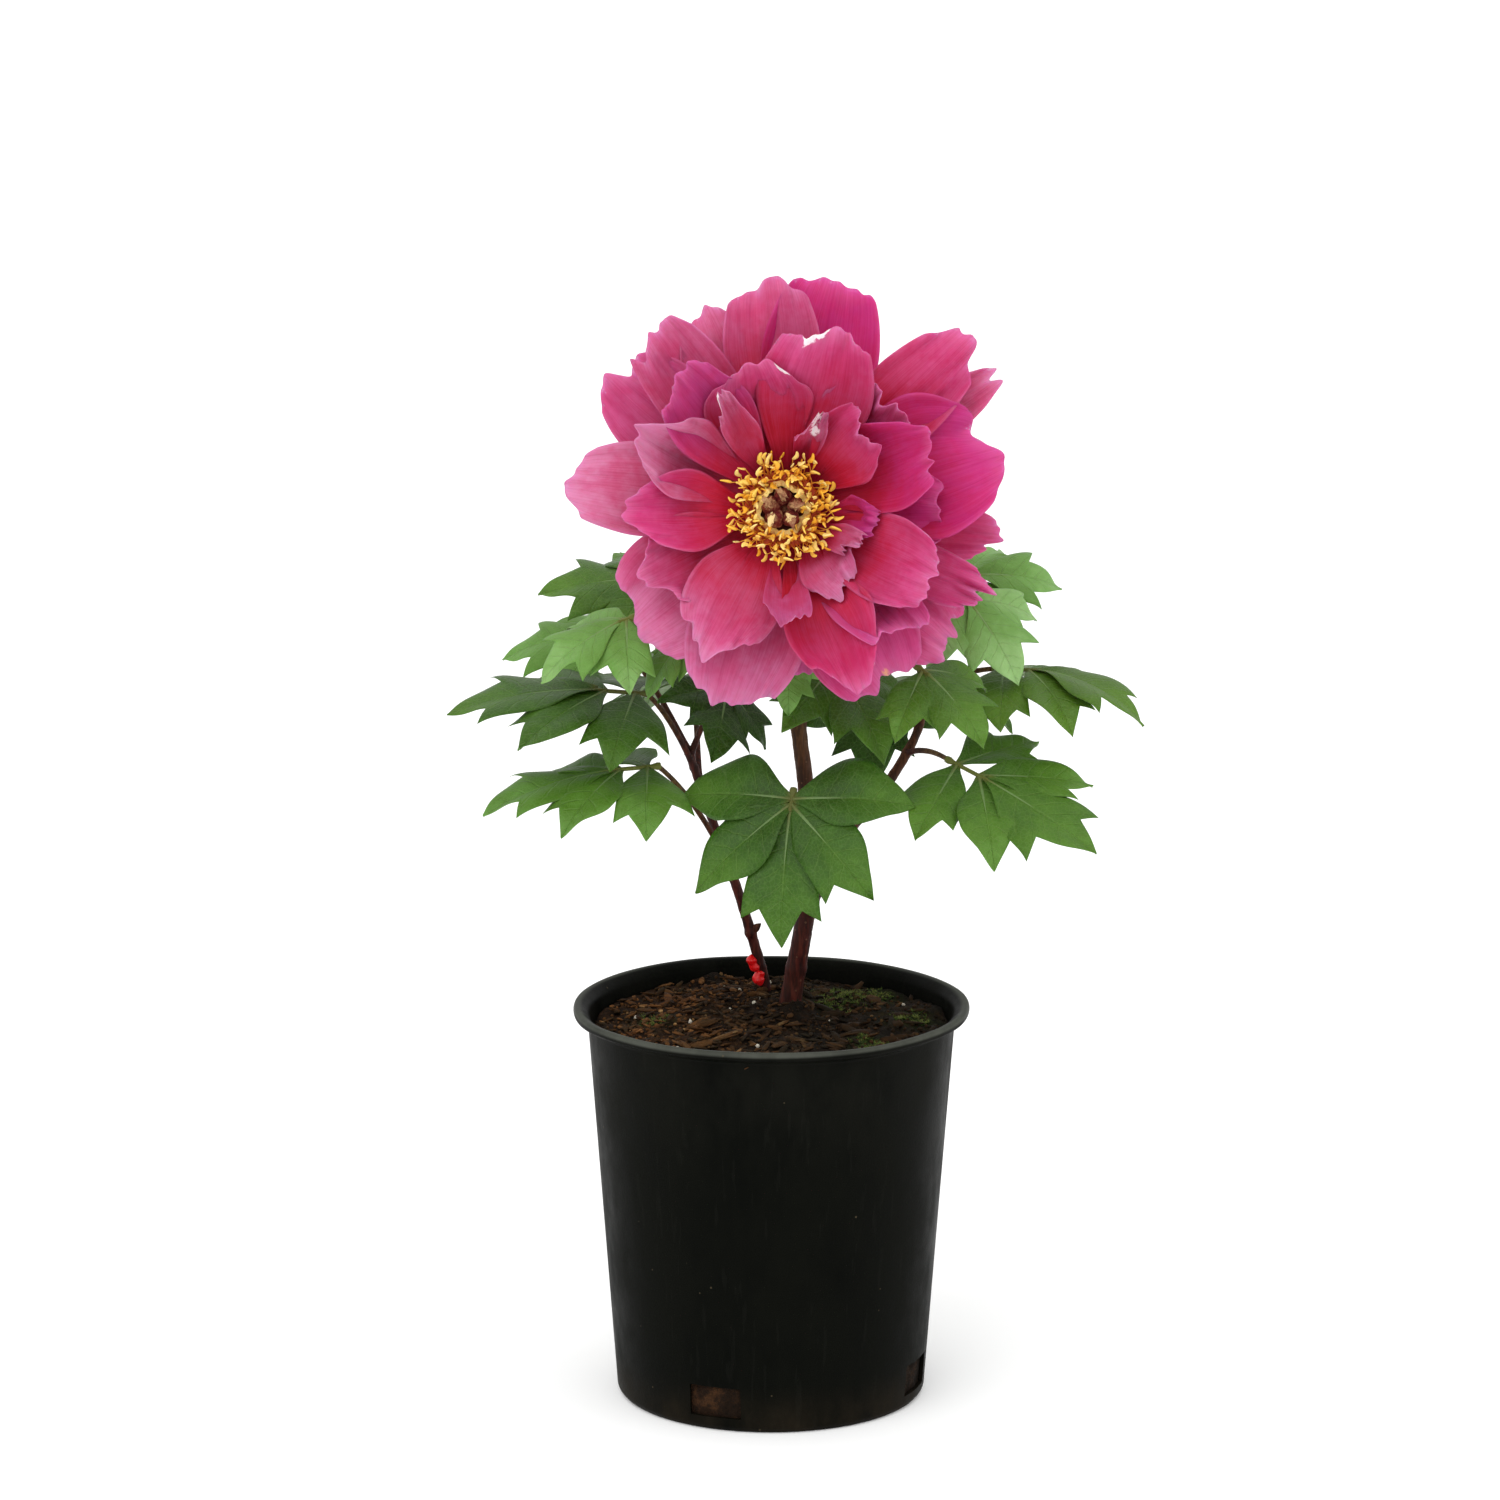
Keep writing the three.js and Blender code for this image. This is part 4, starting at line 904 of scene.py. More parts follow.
def make_litter_tree():
    """Litter strewn over the ground where its mark allows, each bit laid at a random turn and size."""
    graph, given = new_group(
        "litter_on_ground", "GeometryNodeTree", Ground=GEOMETRY, Bit=OBJECT, Density=5000.0, Smallest=0.5,
        Largest=1.5, Tilt=0.4, Lift=0.0005, Seed=1, Finish=MATERIAL,
    )
    seed, tilt = given["Seed"], given["Tilt"]
    density = graph.named("strewn") * given["Density"]
    sockets = {"Mesh": given["Ground"], "Density": density, "Seed": seed}
    spots = graph.add("GeometryNodeDistributePointsOnFaces", 0, sockets)
    least, most = graph.vector(tilt * -1.0, tilt * -1.0, 0.0), graph.vector(tilt, tilt, TURN)
    turn = graph.random(least, most, seed, "FLOAT_VECTOR")
    rotation = graph.add("FunctionNodeEulerToRotation", 0, {0: turn})
    size = graph.random(given["Smallest"], given["Largest"], seed + 1.0)
    sown = graph.sown(spots, given["Bit"], rotation, size)
    lift = graph.vector(0.0, 0.0, given["Lift"])
    sockets = {"Instances": sown, "Translation": lift, "Local Space": False}
    lifted = graph.add("GeometryNodeTranslateInstances", 0, sockets)
    return graph.give(Litter=graph.solid(graph.shaded(lifted, seed + 2.0), given["Finish"]))


stem_tree, anther_tree, litter_tree = make_stem_tree(), make_anther_tree(), make_litter_tree()


def grown(name, source, tree, values, *spent):
    """Grows a piece from a source with a node tree, as one plain mesh, and removes the spent objects."""
    modifier = source.modifiers.new(tree.name, "NODES")
    modifier.node_group = tree
    for item in tree.interface.items_tree:
        if item.in_out == "INPUT" and item.name in values:
            modifier[item.identifier] = values[item.name]
    mesh = baked_mesh(source, name)
    source.modifiers.remove(modifier)
    for used in spent:
        bpy.data.objects.remove(used)
    return shown(name, mesh)


def stems(name, lines, sides, relief, grain, finish):
    """Stems along lines. A line is its points, its thickness at each of them, and its marks."""
    parts = []
    for points, thickness, marks in lines:
        edges = [(i, i + 1) for i in range(len(points) - 1)]
        parts.append((points, edges, {"thickness": np.asarray(thickness) * MM, **marks}))
    source = shown("lines", mesh_of("lines", parts, faced=False))
    values = {"Sides": sides, "Relief": relief * MM, "Grain": grain, "Finish": finish}
    return grown(name, source, stem_tree, values, source)


# Pot


def rounded(corners):
    """A profile whose corners, given as (radius, height, rounding), are rounded off."""
    corners = [np.array(c, float) for c in corners]
    out = [corners[0][:2]]
    for before, corner, after in zip(corners, corners[1:], corners[2:]):
        here, size = corner[:2], corner[2]
        if size <= 0:
            out.append(here)
            continue
        back, ahead = before[:2] - here, after[:2] - here
        start = here + back * min(0.45, size / np.linalg.norm(back))
        end = here + ahead * min(0.45, size / np.linalg.norm(ahead))
        out += list(bent(start, here, end, 5))
    return [*out, corners[-1][:2]]


def inner_radius(z):
    """Half the pot's width inside, at a height."""
    share = (z - 3) / (POT["height"] - POT["lip"] - 3)
    return lerp(POT["foot"], POT["shoulder"], share) - POT["wall"]


def pot_sway(angle, z):
    """How far the thin wall stands off a true circle, more towards the rim."""
    lift = np.clip(z / POT["height"], 0, 1) ** 2
    return lift * (0.5 * np.sin(2 * angle + 0.6) + 0.28 * np.sin(5 * angle + 2) + 0.16 * np.sin(11 * angle))


def swayed(ring, angle):
    """How much wider the sway makes each point of a ring."""
    radius = np.hypot(ring[..., 0], ring[..., 1])
    return 1 + pot_sway(angle, ring[..., 2]) / np.maximum(radius, 40)


def warp_pot(ring, angle):
    ring[..., :2] *= swayed(ring, angle)[..., None]
    top = smooth(ring[..., 2], 190, 216)
    ring[..., 2] += top * (0.3 * np.sin(3 * angle + 1) + 0.18 * np.sin(7 * angle))
    return ring


def bar_part(ring, length):
    """A straight bar with the ring of points as its section."""
    count = len(ring)
    points = np.concatenate([ring, ring + np.array(length, float)])
    sides = [[i, (i + 1) % count, (i + 1) % count + count, i + count] for i in range(count)]
    return points, [list(range(count))[::-1], list(range(count, 2 * count)), *sides], {}


def drain_cutter():
    """Rounded bars and rods that cut the side slots and the floor holes."""
    parts = []
    wide, high, corner = DRAIN["width"] / 2, DRAIN["height"] / 2, 4
    turn = np.linspace(0, TURN, 24, endpoint=False) + TURN / 48
    y = np.clip(1.6 * np.cos(turn), -1, 1) * corner + np.sign(np.cos(turn)) * (wide - corner)
    z = np.clip(1.6 * np.sin(turn), -1, 1) * corner + np.sign(np.sin(turn)) * (high - corner)
    slot = bar_part(points_at(POT["foot"] - 12, y, z + DRAIN["low"] + high), (24, 0, 0))
    turn = np.linspace(0, TURN, 32, endpoint=False)
    hole = points_at(np.cos(turn), np.sin(turn), 0) * FLOOR_HOLE["radius"]
    rod = bar_part(hole + (FLOOR_HOLE["ring"], 0, -5), (0, 0, 20))
    for i in range(DRAIN["count"]):
        angle = DRAIN["first_angle"] + 360 * i / DRAIN["count"]
        parts += [moved(slot, turned("Z", angle)), moved(rod, turned("Z", angle + 180 / DRAIN["count"]))]
    return piece_from("drain_cutter", parts, pot_plastic)


def make_pot():
    height, rim, shoulder, foot, floor = (POT[k] for k in ("height", "rim", "shoulder", "foot", "floor"))
    lip_low, bead = height - POT["lip"], height - POT["bead"]
    wall = [(lerp(foot, shoulder, t), lerp(3, lip_low, t), 0) for t in np.linspace(0.03, 0.97, 22)]
    inside = [(inner_radius(z), z, 0) for z in np.linspace(lip_low - 6, floor + 3, 16)]
    corners = [
        (0, 0, 0), (14, 0, 1), (16, 3, 1), (foot - 13, 3, 1), (foot - 11, 0, 1), (foot - 2.5, 0, 1.2),
        (foot, 3, 1.5), *wall, (shoulder, lip_low, 1.4), (rim - 2.4, bead - 0.5, 1.6), (rim - 0.3, bead, 0.9),
        (rim + 0.2, bead + 2.3, 1.7), (rim - 0.9, height, 1.6), (rim - 4.5, height - 0.3, 1.8),
        (rim - 9, height - 4, 2.5), *inside, (inner_radius(floor), floor, 1.5), (0, floor, 0),
    ]
    pot = piece_from("pot_body", [turned_part(rounded(corners), 144, warp_pot)], pot_plastic)
    cutter = drain_cutter()
    for tool in (pot, cutter):
        fix_normals(tool.data)
    modifier = pot.modifiers.new("drain", "BOOLEAN")
    modifier.operation, modifier.solver, modifier.object = "DIFFERENCE", "EXACT", cutter
    mesh = baked_mesh(pot, "pot")
    bpy.data.objects.remove(pot)
    bpy.data.objects.remove(cutter)
    set_smooth(mesh)
    mesh.set_sharp_from_angle(angle=math.radians(40))
    add_to_plant(shown("pot", mesh), "pot_plastic", "nursery_pot")


# Soil


def soil_height(x, y):
    """The mound that the packed soil has too."""
    away = np.hypot(x, y - SOIL["crown_y"]) / SOIL["spread"]
    hollows = np.sin(x / 11 + 1) * np.cos(y / 13) + 0.6 * np.sin(x / 5.3 - y / 6.1)
    return SOIL["level"] + SOIL["mound"] * np.exp(-away * away) + SOIL["relief"] * hollows


def crumble(x, y, z, size):
    """Rough ground relief at each point, from -1 to 1."""
    places = points_at(x, y, z).reshape(-1, 3) / size
    return np.array([noise.fractal(Vector(p), 0.9, 2.1, 4) for p in places]).reshape(np.shape(x))


def near(x, y, bed):
    """1 in the middle of a bed, given by its place and size, and less further off."""
    return np.exp(-(((x - bed[0]) ** 2 + (y - bed[1]) ** 2) / bed[2] ** 2))


def near_any(x, y, beds):
    """How near each point lies to the middle of any bed, from 0 to 1."""
    return np.max([near(x, y, bed) for bed in beds], axis=0)


def make_soil():
    level, gap, rings = SOIL["level"], 0.4, 84
    edge, low = inner_radius(level) - gap, POT["floor"] + gap
    heights = [low, *np.linspace(8, 30, 14), *np.linspace(45, 195, 8)]
    wall = [(inner_radius(z) - gap, z) for z in heights]
    top = [(edge * (i / rings), level) for i in range(rings, 0, -1)]

    def warp(ring, angle):
        """Roughens the sides, and lifts the top to the ground's height."""
        x, y, z = ring[..., 0], ring[..., 1], ring[..., 2].copy()
        on_wall = np.arange(len(ring))[:, None] < len(wall)
        rough = crumble(x, y, z, 9.0)
        worn = np.abs(rough) * 1.6 / np.maximum(np.hypot(x, y), 1)
        scale = swayed(ring, angle) * np.where(on_wall & (z > low + 1), 1 - worn, 1)
        ring[..., :2] *= scale[..., None]
        ground = soil_height(x, y) + 1.5 * rough + 0.7 * crumble(x, y, z, 3.1)
        for lump in DARK_LUMPS:
            ground += lump[3] * near(x, y, lump)
        ring[..., 2] = np.where(on_wall, z, ground)
        return ring

    points, faces, _ = turned_part([(0, low), *wall, *top, (0, level)], 220, warp)
    points[-1, 2] = soil_height(0.0, 0.0)
    x, y = points[:, 0], points[:, 1]
    clear = smooth(edge - np.hypot(x, y), 2, 6) * (points[:, 2] > level - 8)
    for cane_x, cane_y, size in CANE_FEET:
        clear = clear * smooth(np.hypot(x - cane_x, y - cane_y), size, size + 3)
    moss, lumps = near_any(x, y, MOSS_BEDS), near_any(x, y, DARK_LUMPS)
    # Patches that are darker in tone, towards the right, on top of the darker right half and the lumps.
    dark_patches = smooth(crumble(x, y, 0 * x, 26.0), -0.1, 0.35) * smooth(x, -70, 0)
    marks = {
        "moss": moss, "dark": np.clip(np.maximum(smooth(x, -45, 45) * 0.85, lumps) + 0.6 * dark_patches, 0, 1),
        "bark_here": clear * (1 - 0.75 * smooth(x, 20, 70)) * (1 - lumps),
        "moss_here": clear * smooth(moss, 0.35, 0.7), "all_here": clear,
    }
    soil = piece_from("soil", [(points, faces, marks)], bark_mix)
    fix_normals(soil.data)
    return soil


def bark_slab(long, wide, thick, grid, draw):
    """Front and back of a splinter of bark, with ragged ends and sides and a fibrous back."""
    v, u = np.linspace(-1, 1, grid[0])[:, None], np.linspace(-1, 1, grid[1])
    taper = (1 - 0.55 * np.abs(v) ** (1.5 + 3 * draw())) * (1 + 0.12 * np.sin(5 * v + TURN * draw()))
    bow = (draw() - 0.5) * 0.16 * long
    ragged = 1 + 0.1 * np.sin(7 * u + TURN * draw()) + 0.08 * np.sin(3 * u + TURN * draw())
    x, y = 0.5 * long * v * ragged, 0.5 * wide * u * taper + bow * (1 - v * v)
    edge = np.maximum(np.abs(u), np.abs(v)) ** 4
    ridge = 0.12 * thick * np.sin(9 * u + 2 * v + TURN * draw())
    half = 0.5 * thick * (1 - 0.7 * edge)
    return points_at(x, y, half + ridge * (1 - edge)), points_at(x, y, -half)


def pebble(size, draw):
    """A rough crumb with few faces."""
    ball = bmesh.new()
    bmesh.ops.create_icosphere(ball, subdivisions=1, radius=size / 2)
    points = np.array([v.co * lerp(0.7, 1.2, draw()) for v in ball.verts])
    faces = [[v.index for v in f.verts] for f in ball.faces]
    ball.free()
    return points, faces, {}


def moss_tuft(draw):
    """A tuft of short pointed leaflets."""
    turn = np.arange(3) * TURN / 3
    foot = points_at(0.34 * np.cos(turn), 0.34 * np.sin(turn), 0)
    parts = []
    for i in range(6):
        points = np.vstack([foot, [0, 0, lerp(1.6, 3.0, draw())]])
        lean = turned("Z", 60 * i + 40 * draw()) @ turned("Y", lerp(15, 65, draw()))
        parts.append(moved((points, [[2, 1, 0], [0, 1, 3], [1, 2, 3], [2, 0, 3]], {}), lean))
    return parts


def big_chips():
    """The large splinters, where the packed soil has them."""
    widest = inner_radius(SOIL["level"]) - 1.3 - BIG_CHIPS["margin"]
    draw, own = random_from(11), random_from(61)
    parts = []
    for _ in range(BIG_CHIPS["count"]):
        reach, angle = widest * math.sqrt(draw()), TURN * draw()
        x, y = reach * math.cos(angle), reach * math.sin(angle)
        long, wide = lerp(*BIG_CHIPS["long"], draw()), lerp(*BIG_CHIPS["wide"], draw())
        tilt_x, tilt_y = (math.degrees(BIG_CHIPS["tilt"] * (2 * draw() - 1)) for _ in range(2))
        turn = turned("Z", 360 * draw()) @ turned("Y", tilt_y) @ turned("X", tilt_x)
        front, back = bark_slab(long, wide, BIG_CHIPS["thick"], (16, 9), own)
        part = closed_sheet(front, back, shade=lerp(0.35, 1.0, own()), dark=0.8 * smooth(x, -20, 60))
        parts.append(moved(part, turn, (x, y, soil_height(x, y) + 1.2)))
    return piece_from("big_chips", parts, bark_chip)


def strew(soil, name, bit, where, density, sizes, tilt, lift, seed, finish):
    """Strews a bit over the soil, as thickly as one of the soil's marks allows."""
    allowed = np.zeros(len(soil.data.vertices), np.float32)
    soil.data.attributes[where].data.foreach_get("value", allowed)
    set_mark(soil.data, "strewn", allowed)
    shape = piece_from("bit", bit, finish)
    values = {
        "Bit": shape, "Density": density, "Smallest": sizes[0], "Largest": sizes[1], "Tilt": tilt,
        "Lift": lift * MM, "Seed": seed, "Finish": finish,
    }
    return grown(name, soil, litter_tree, values, shape)


def mark_dark(mesh):
    """Darkens litter towards the right of the pot and on the dark lumps."""
    places = np.zeros(len(mesh.vertices) * 3, np.float32)
    mesh.vertices.foreach_get("co", places)
    x, y, _ = places.reshape(-1, 3).T / MM
    set_mark(mesh, "dark", np.maximum(0.9 * smooth(x, -75, 30), near_any(x, y, DARK_LUMPS)))


def make_litter(soil):
    draw = random_from(77)
    strewn = [big_chips()]
    for i, (long, wide, density) in enumerate(SPLINTERS):
        bit = [closed_sheet(*bark_slab(long, wide, 1.5, (6, 3), draw))]
        strewn.append(strew(
            soil, "splinters", bit, "bark_here", density, (0.6, 1.25), 0.45, 1.0, 10 * i + 3, bark_chip
        ))
    crumb = [pebble(2.3, draw)]
    strewn.append(strew(soil, "crumbs", crumb, "all_here", 42000, (0.4, 1.3), 3.0, 0.4, 91, bark_chip))
    chips = joined("bark_chips", strewn)
    mark_dark(chips.data)
    moss = strew(soil, "moss", moss_tuft(draw), "moss_here", 150000, (0.6, 1.4), 0.4, 0.2, 41, moss_green)
    grain = [pebble(2.6, draw)]
    grit = strew(soil, "white_grit", grain, "all_here", 420, (0.5, 1.1), 3.0, 0.9, 57, white_grit)
    for piece in (chips, moss, grit):
        add_to_plant(piece, "bark_mix")


# Canes

cane_main, cane_left = path_through(CANE_MAIN["points"]), path_through(CANE_LEFT["points"])
fork = cane_main(BRANCH["from"])[0]
carriers = {"main": cane_main, "left": cane_left, "branch": path_through([fork, *BRANCH["points"]])}


def stalk_line(leaf):
    """The line of a leaf's stalk, thick at its foot, up to the leaf's knob."""
    _, carrier, along, joint, *_, pale, _ = leaf
    root, end = carriers[carrier](along)[0], np.array(joint, float)
    middle = (root + end) / 2 + (0, 0, STALK["rise"] * np.linalg.norm(root - end))
    t = np.linspace(0, 1, 30)
    thickness = lerp(*STALK["radii"], t) + 1.1 * np.exp(-t / 0.05) + 0.3 * smooth(t, 0.94, 1)
    return bent(root, middle, end, len(t)), thickness, {"green": (0.35 + 0.6 * pale) * smooth(t, 0.1, 0.8)}


def limb_line(curve, radii, steps, scars, green):
    """A cane's line, swollen at each scar where a stalk leaves it."""
    share = np.linspace(0, 1, steps)
    thickness = lerp(*radii, share)
    for scar, swell, spread in scars:
        thickness = thickness * (1 + swell * bell(share, scar, spread))
    return curve(share), thickness, {"green": green(share)}


def bud_line(curve, radius, bud):
    along, heading, length = bud
    out = turned("Z", heading) @ (1, 0, 0.9)
    out /= np.linalg.norm(out)
    t = np.linspace(0, 1, 9)
    bulge = np.interp(t, [0, 0.3, 0.55, 0.8, 1], [2.2, 2.6, 2.1, 1.2, 0.25])
    return curve(along)[0] + (0.4 * radius + t[:, None] * length) * out, bulge, {"green": 0.1}


def scars_on(limb, swell, spread):
    """A scar where each leaf stalk leaves a limb."""
    return [(leaf[2], swell, spread) for leaf in LEAVES if leaf[1] == limb]


def make_canes():
    for name, plan in (("main", CANE_MAIN), ("left", CANE_LEFT)):
        scars = scars_on(name, 0.14, 0.012) + plan["knots"]
        olive = plan["olive"]
        thick = [limb_line(carriers[name], plan["radii"], 200, scars, lambda s: 0.75 * smooth(s, *olive))]
        if "branch" in plan["limbs"]:
            scars = scars_on("branch", 0.13, 0.02) + [(0.0, 0.3, 0.05)]
            thick.append(limb_line(carriers["branch"], BRANCH["radii"], 90, scars, lambda s: 0.25 * s))
        thin = [bud_line(carriers[name], plan["radii"][0], bud) for bud in plan["buds"]]
        thin += [stalk_line(leaf) for leaf in LEAVES if leaf[1] in plan["limbs"]]
        limbs = stems("limbs", thick, 22, 0.9, 260.0, cane_bark)
        stalks = stems("stalks", thin, 10, 0.25, 400.0, cane_bark)
        add_to_plant(joined(f"{name}_cane", [limbs, stalks]), "cane_bark", f"cane_{name}")


# Leaves


def hermite(places, values, at):
    """Smooth interpolation through values at uneven places."""
    slopes = np.gradient(values, places, axis=0)
    i = np.clip(np.searchsorted(places, at, "right") - 1, 0, len(places) - 2)
    step = (places[i + 1] - places[i])[:, None]
    t = (at - places[i])[:, None] / step
    leave, arrive = slopes[i] * step, slopes[i + 1] * step
    even = lerp(values[i], values[i + 1], 3 * t**2 - 2 * t**3)
    return even + (t**3 - 2 * t**2 + t) * leave + (t**3 - t**2) * arrive


def half_outline(name, stations):
    """Places along and across of a half outline at stations along the rib, smooth between its corners."""
    knots = np.array(OUTLINES[name], float)
    found = np.zeros((len(stations), 2))
    corners = np.flatnonzero(knots[:, 3])
    for start, end in zip(corners, corners[1:]):
        run = knots[start : end + 1]
        here = (stations >= run[0, 0]) & (stations <= run[-1, 0])
        found[here] = hermite(run[:, 0], run[:, 1:3], stations[here])
    return found


def leaflet_parts(leaflet, leaf, phase, own):
    """One leaflet's blade as a closed sheet, and the line of the rib that stands out beneath it."""
    base, turn, pitch, span, left, right = leaflet
    *_, size, curl_degrees, _, pale, yellow = leaf
    length, full = span * size, LEAFLET["fullness"]
    curl = math.radians(curl_degrees) / length
    place = turned("Z", turn) @ turned("Y", -pitch)
    corners = [row[0] for name in (left, right) for row in OUTLINES[name] if row[3]]
    stations = np.unique(np.round(np.concatenate([np.linspace(0, 1, 42), corners]), 4))
    steps = np.linspace(0, 1, 8) ** 0.85
    t = np.concatenate([-steps[:0:-1], steps])
    right_edge, left_edge = (
        (half_outline(name, stations) * (1, wide))[:, None] for name, wide in ((right, -full), (left, full))
    )
    rib = np.stack([stations, 0 * stations], -1)[:, None]
    flat = lerp(rib, np.where(t[:, None] < 0, right_edge, left_edge), np.abs(t)[:, None])
    x, y = flat[..., 0], flat[..., 1]
    station, out = np.broadcast_arrays(stations[:, None], np.abs(t))
    right_phase, left_phase, sway_phase = phases(own, 3)
    droop = 2.2 * smooth(station, 0.7, 1) * own()
    wide = np.sqrt(y * y + 0.0004) - 0.02
    wave = LEAFLET["wave"] * wide * np.sin(LEAFLET["wave_turns"] * x + phase)
    quilt = 0.72 * np.abs(np.sin(math.pi * 8 * station - 0.35 * out)) * out * (1 - out)
    flutter = np.sin(13 * station + np.where(t < 0, right_phase, left_phase)) * smooth(station, 0.1, 0.4)
    relief = length * (LEAFLET["fold"] * wide - LEAFLET["spread"] * y * y + wave) + quilt - droop
    relief = relief + 0.9 * out**2 * flutter + 1.1 * out * np.sin(5 * station + sway_phase)
    angle = curl * x * length

    def surface(height):
        ahead = np.sin(angle) * (1 / curl + relief + height)
        up = (np.cos(angle) - 1) / curl + (relief + height) * np.cos(angle)
        return points_at(ahead, y * length, up) @ place.T + (base * size, 0, 0)

    thin = lerp(0.26, 0.1, smooth(out, 0.75, 1.0))
    tone = {"pale": pale, "yellow": yellow}
    stem = 0.8 * (1 - smooth(x, 0.01, 0.07))
    blade = closed_sheet(
        surface(thin), surface(-thin), rib=out, station=station, stem=stem, leaflet=own(), **tone
    )
    middle, shared = surface(-0.35)[:-1, len(t) // 2], stations[:-1]
    thickness = lerp(1.15, 0.18, smooth(shared, 0.0, 0.85)) + 0.2 * np.exp(-shared / 0.05)
    return blade, (middle, thickness, {"stem": 0.8 - 0.8 * smooth(shared, 0.02, 0.2), "back": 1.0, **tone})


def make_leaf(order, leaf):
    name, _, _, joint, heading, pitch, roll, size, _, pattern, pale, yellow = leaf
    draw, own = random_from(101 + order), random_from(501 + order)
    place = turned("Z", heading) @ turned("Y", -pitch) @ turned("X", roll)
    found = [leaflet_parts(leaflet, leaf, TURN * draw(), own) for leaflet in PATTERNS[pattern]]
    x = np.linspace(-1.5, PATTERNS[pattern][0][0] * size + 2, 16)
    marks = {"stem": 1.0, "pale": pale, "yellow": yellow, "back": 1.0}
    stem = points_at(x, 0, 0), 1.25 + (KNOB - 1.35) * bell(x, 0, 2.6), marks
    blades = [moved(blade, place, joint) for blade, _ in found]
    lines = [moved(line, place, joint) for line in [stem, *(rib for _, rib in found)]]
    pieces = [piece_from("blades", blades, leaf_green), stems("ribs", lines, 8, 0.1, 500.0, leaf_green)]
    add_to_plant(joined(f"{name}_blades", pieces), "leaf_green", name)


# Bloom


def at_clock(clock, outward, across, forward):
    """Points from their places out along, across and in front of a petal at a clock position."""
    return points_at(outward, across, forward) @ turned("Z", 90 - clock).T


def flower_part(corners, sides, **marks):
    """A plain part of revolution about the flower's axis."""
    return on_flower(turned_part(rounded(corners), sides, **marks))


def petal_shape(v):
    """Half-width along a petal, as a share of its greatest."""
    widening = np.sin(math.pi / 2 * np.minimum(1, v / PETAL["widest"]))
    beyond = np.maximum(0, (v - PETAL["widest"]) / (1 - PETAL["widest"]))
    return PETAL["claw"] + (1 - PETAL["claw"]) * widening - PETAL["narrowing"] * beyond**2


def rounded_end(u, v, roundness):
    """Draws the two far corners of a petal's grid in, so that the petal ends in an arc."""
    low = PETAL["round_from"]
    far = np.maximum(0, (v - low) / (1 - low))
    round_u = u * np.sqrt(1 - roundness * far * far / 2)
    round_v = low + (1 - low) * far * np.sqrt(1 - roundness * u * u / 2)
    return round_u, np.where(v > low, round_v, v + 0 * u)


def petal_end(u, v, notch, fringe, own):
    """How far a petal reaches across its width: lobed, notched and finely fringed towards its end."""
    first, second, third, fourth = phases(own, 4)
    depth = NOTCH["depth"] * lerp(0.3, 1.2, own())
    lobes = 0.032 * np.sin(4 * u + first) + 0.016 * np.sin(9 * u + second) + 0.007 * np.sin(17 * u + third)
    teeth = 0.5 * np.sin(21 * u + third) + 0.35 * np.sin(37 * u + fourth) + 0.3 * np.sin(13 * u + second)
    dip = depth * bell(u, notch, NOTCH["width"])
    return 1 + smooth(v, 0.4, 0.95) * (lobes - dip + 0.014 * fringe * teeth)


def petal_crinkles(u, v, edge, own):
    """A petal's fine relief: a frill as deep as edge says, then creases, dimples and swells."""
    first, second, third, fourth, fifth, sixth = phases(own, 6)
    frill = np.sin(6 * u + 4 * v + first) + 0.6 * np.sin(12 * u - 7 * v + second)
    frill = frill + 0.3 * np.sin(23 * u + 9 * v + third)
    crinkle = np.abs(np.sin(8 * u + 5 * v + fourth)) + 0.6 * np.abs(np.sin(15 * u - 4 * v + fifth)) - 1
    crease = (np.sin(9 * u + fourth) + 0.7 * np.sin(16 * u + 1.5 * v + fifth)) * np.sin(math.pi * v)
    dimple = np.sin(3 * u + 7 * v + sixth) * np.sin(5 * v)
    swell = np.sin(2.3 * u - 5 * v + second) + 0.7 * np.sin(4.1 * u + 6 * v + third)
    return edge * (1.35 * frill + 1.5 * crinkle) + 0.3 * crease + 1.9 * (dimple + swell * smooth(v, 0.1, 0.6))


def petal_pose(u, v, half, pose, own):
    """How far a petal stands forward through its pose, and through the curl of its hem and its tip."""
    lift, closing, twist = pose
    hem, tip = lerp(-0.22, 0.32, own()), lerp(-6, 3, own())
    sides = twist * u * smooth(v, 0.2, 1) + hem * np.abs(u) ** 3 * smooth(v, 0.2, 0.8)
    return half * (sides + closing * (np.abs(u) - 0.5)) + tip * smooth(v, 0.7, 1) ** 2 + lift * v


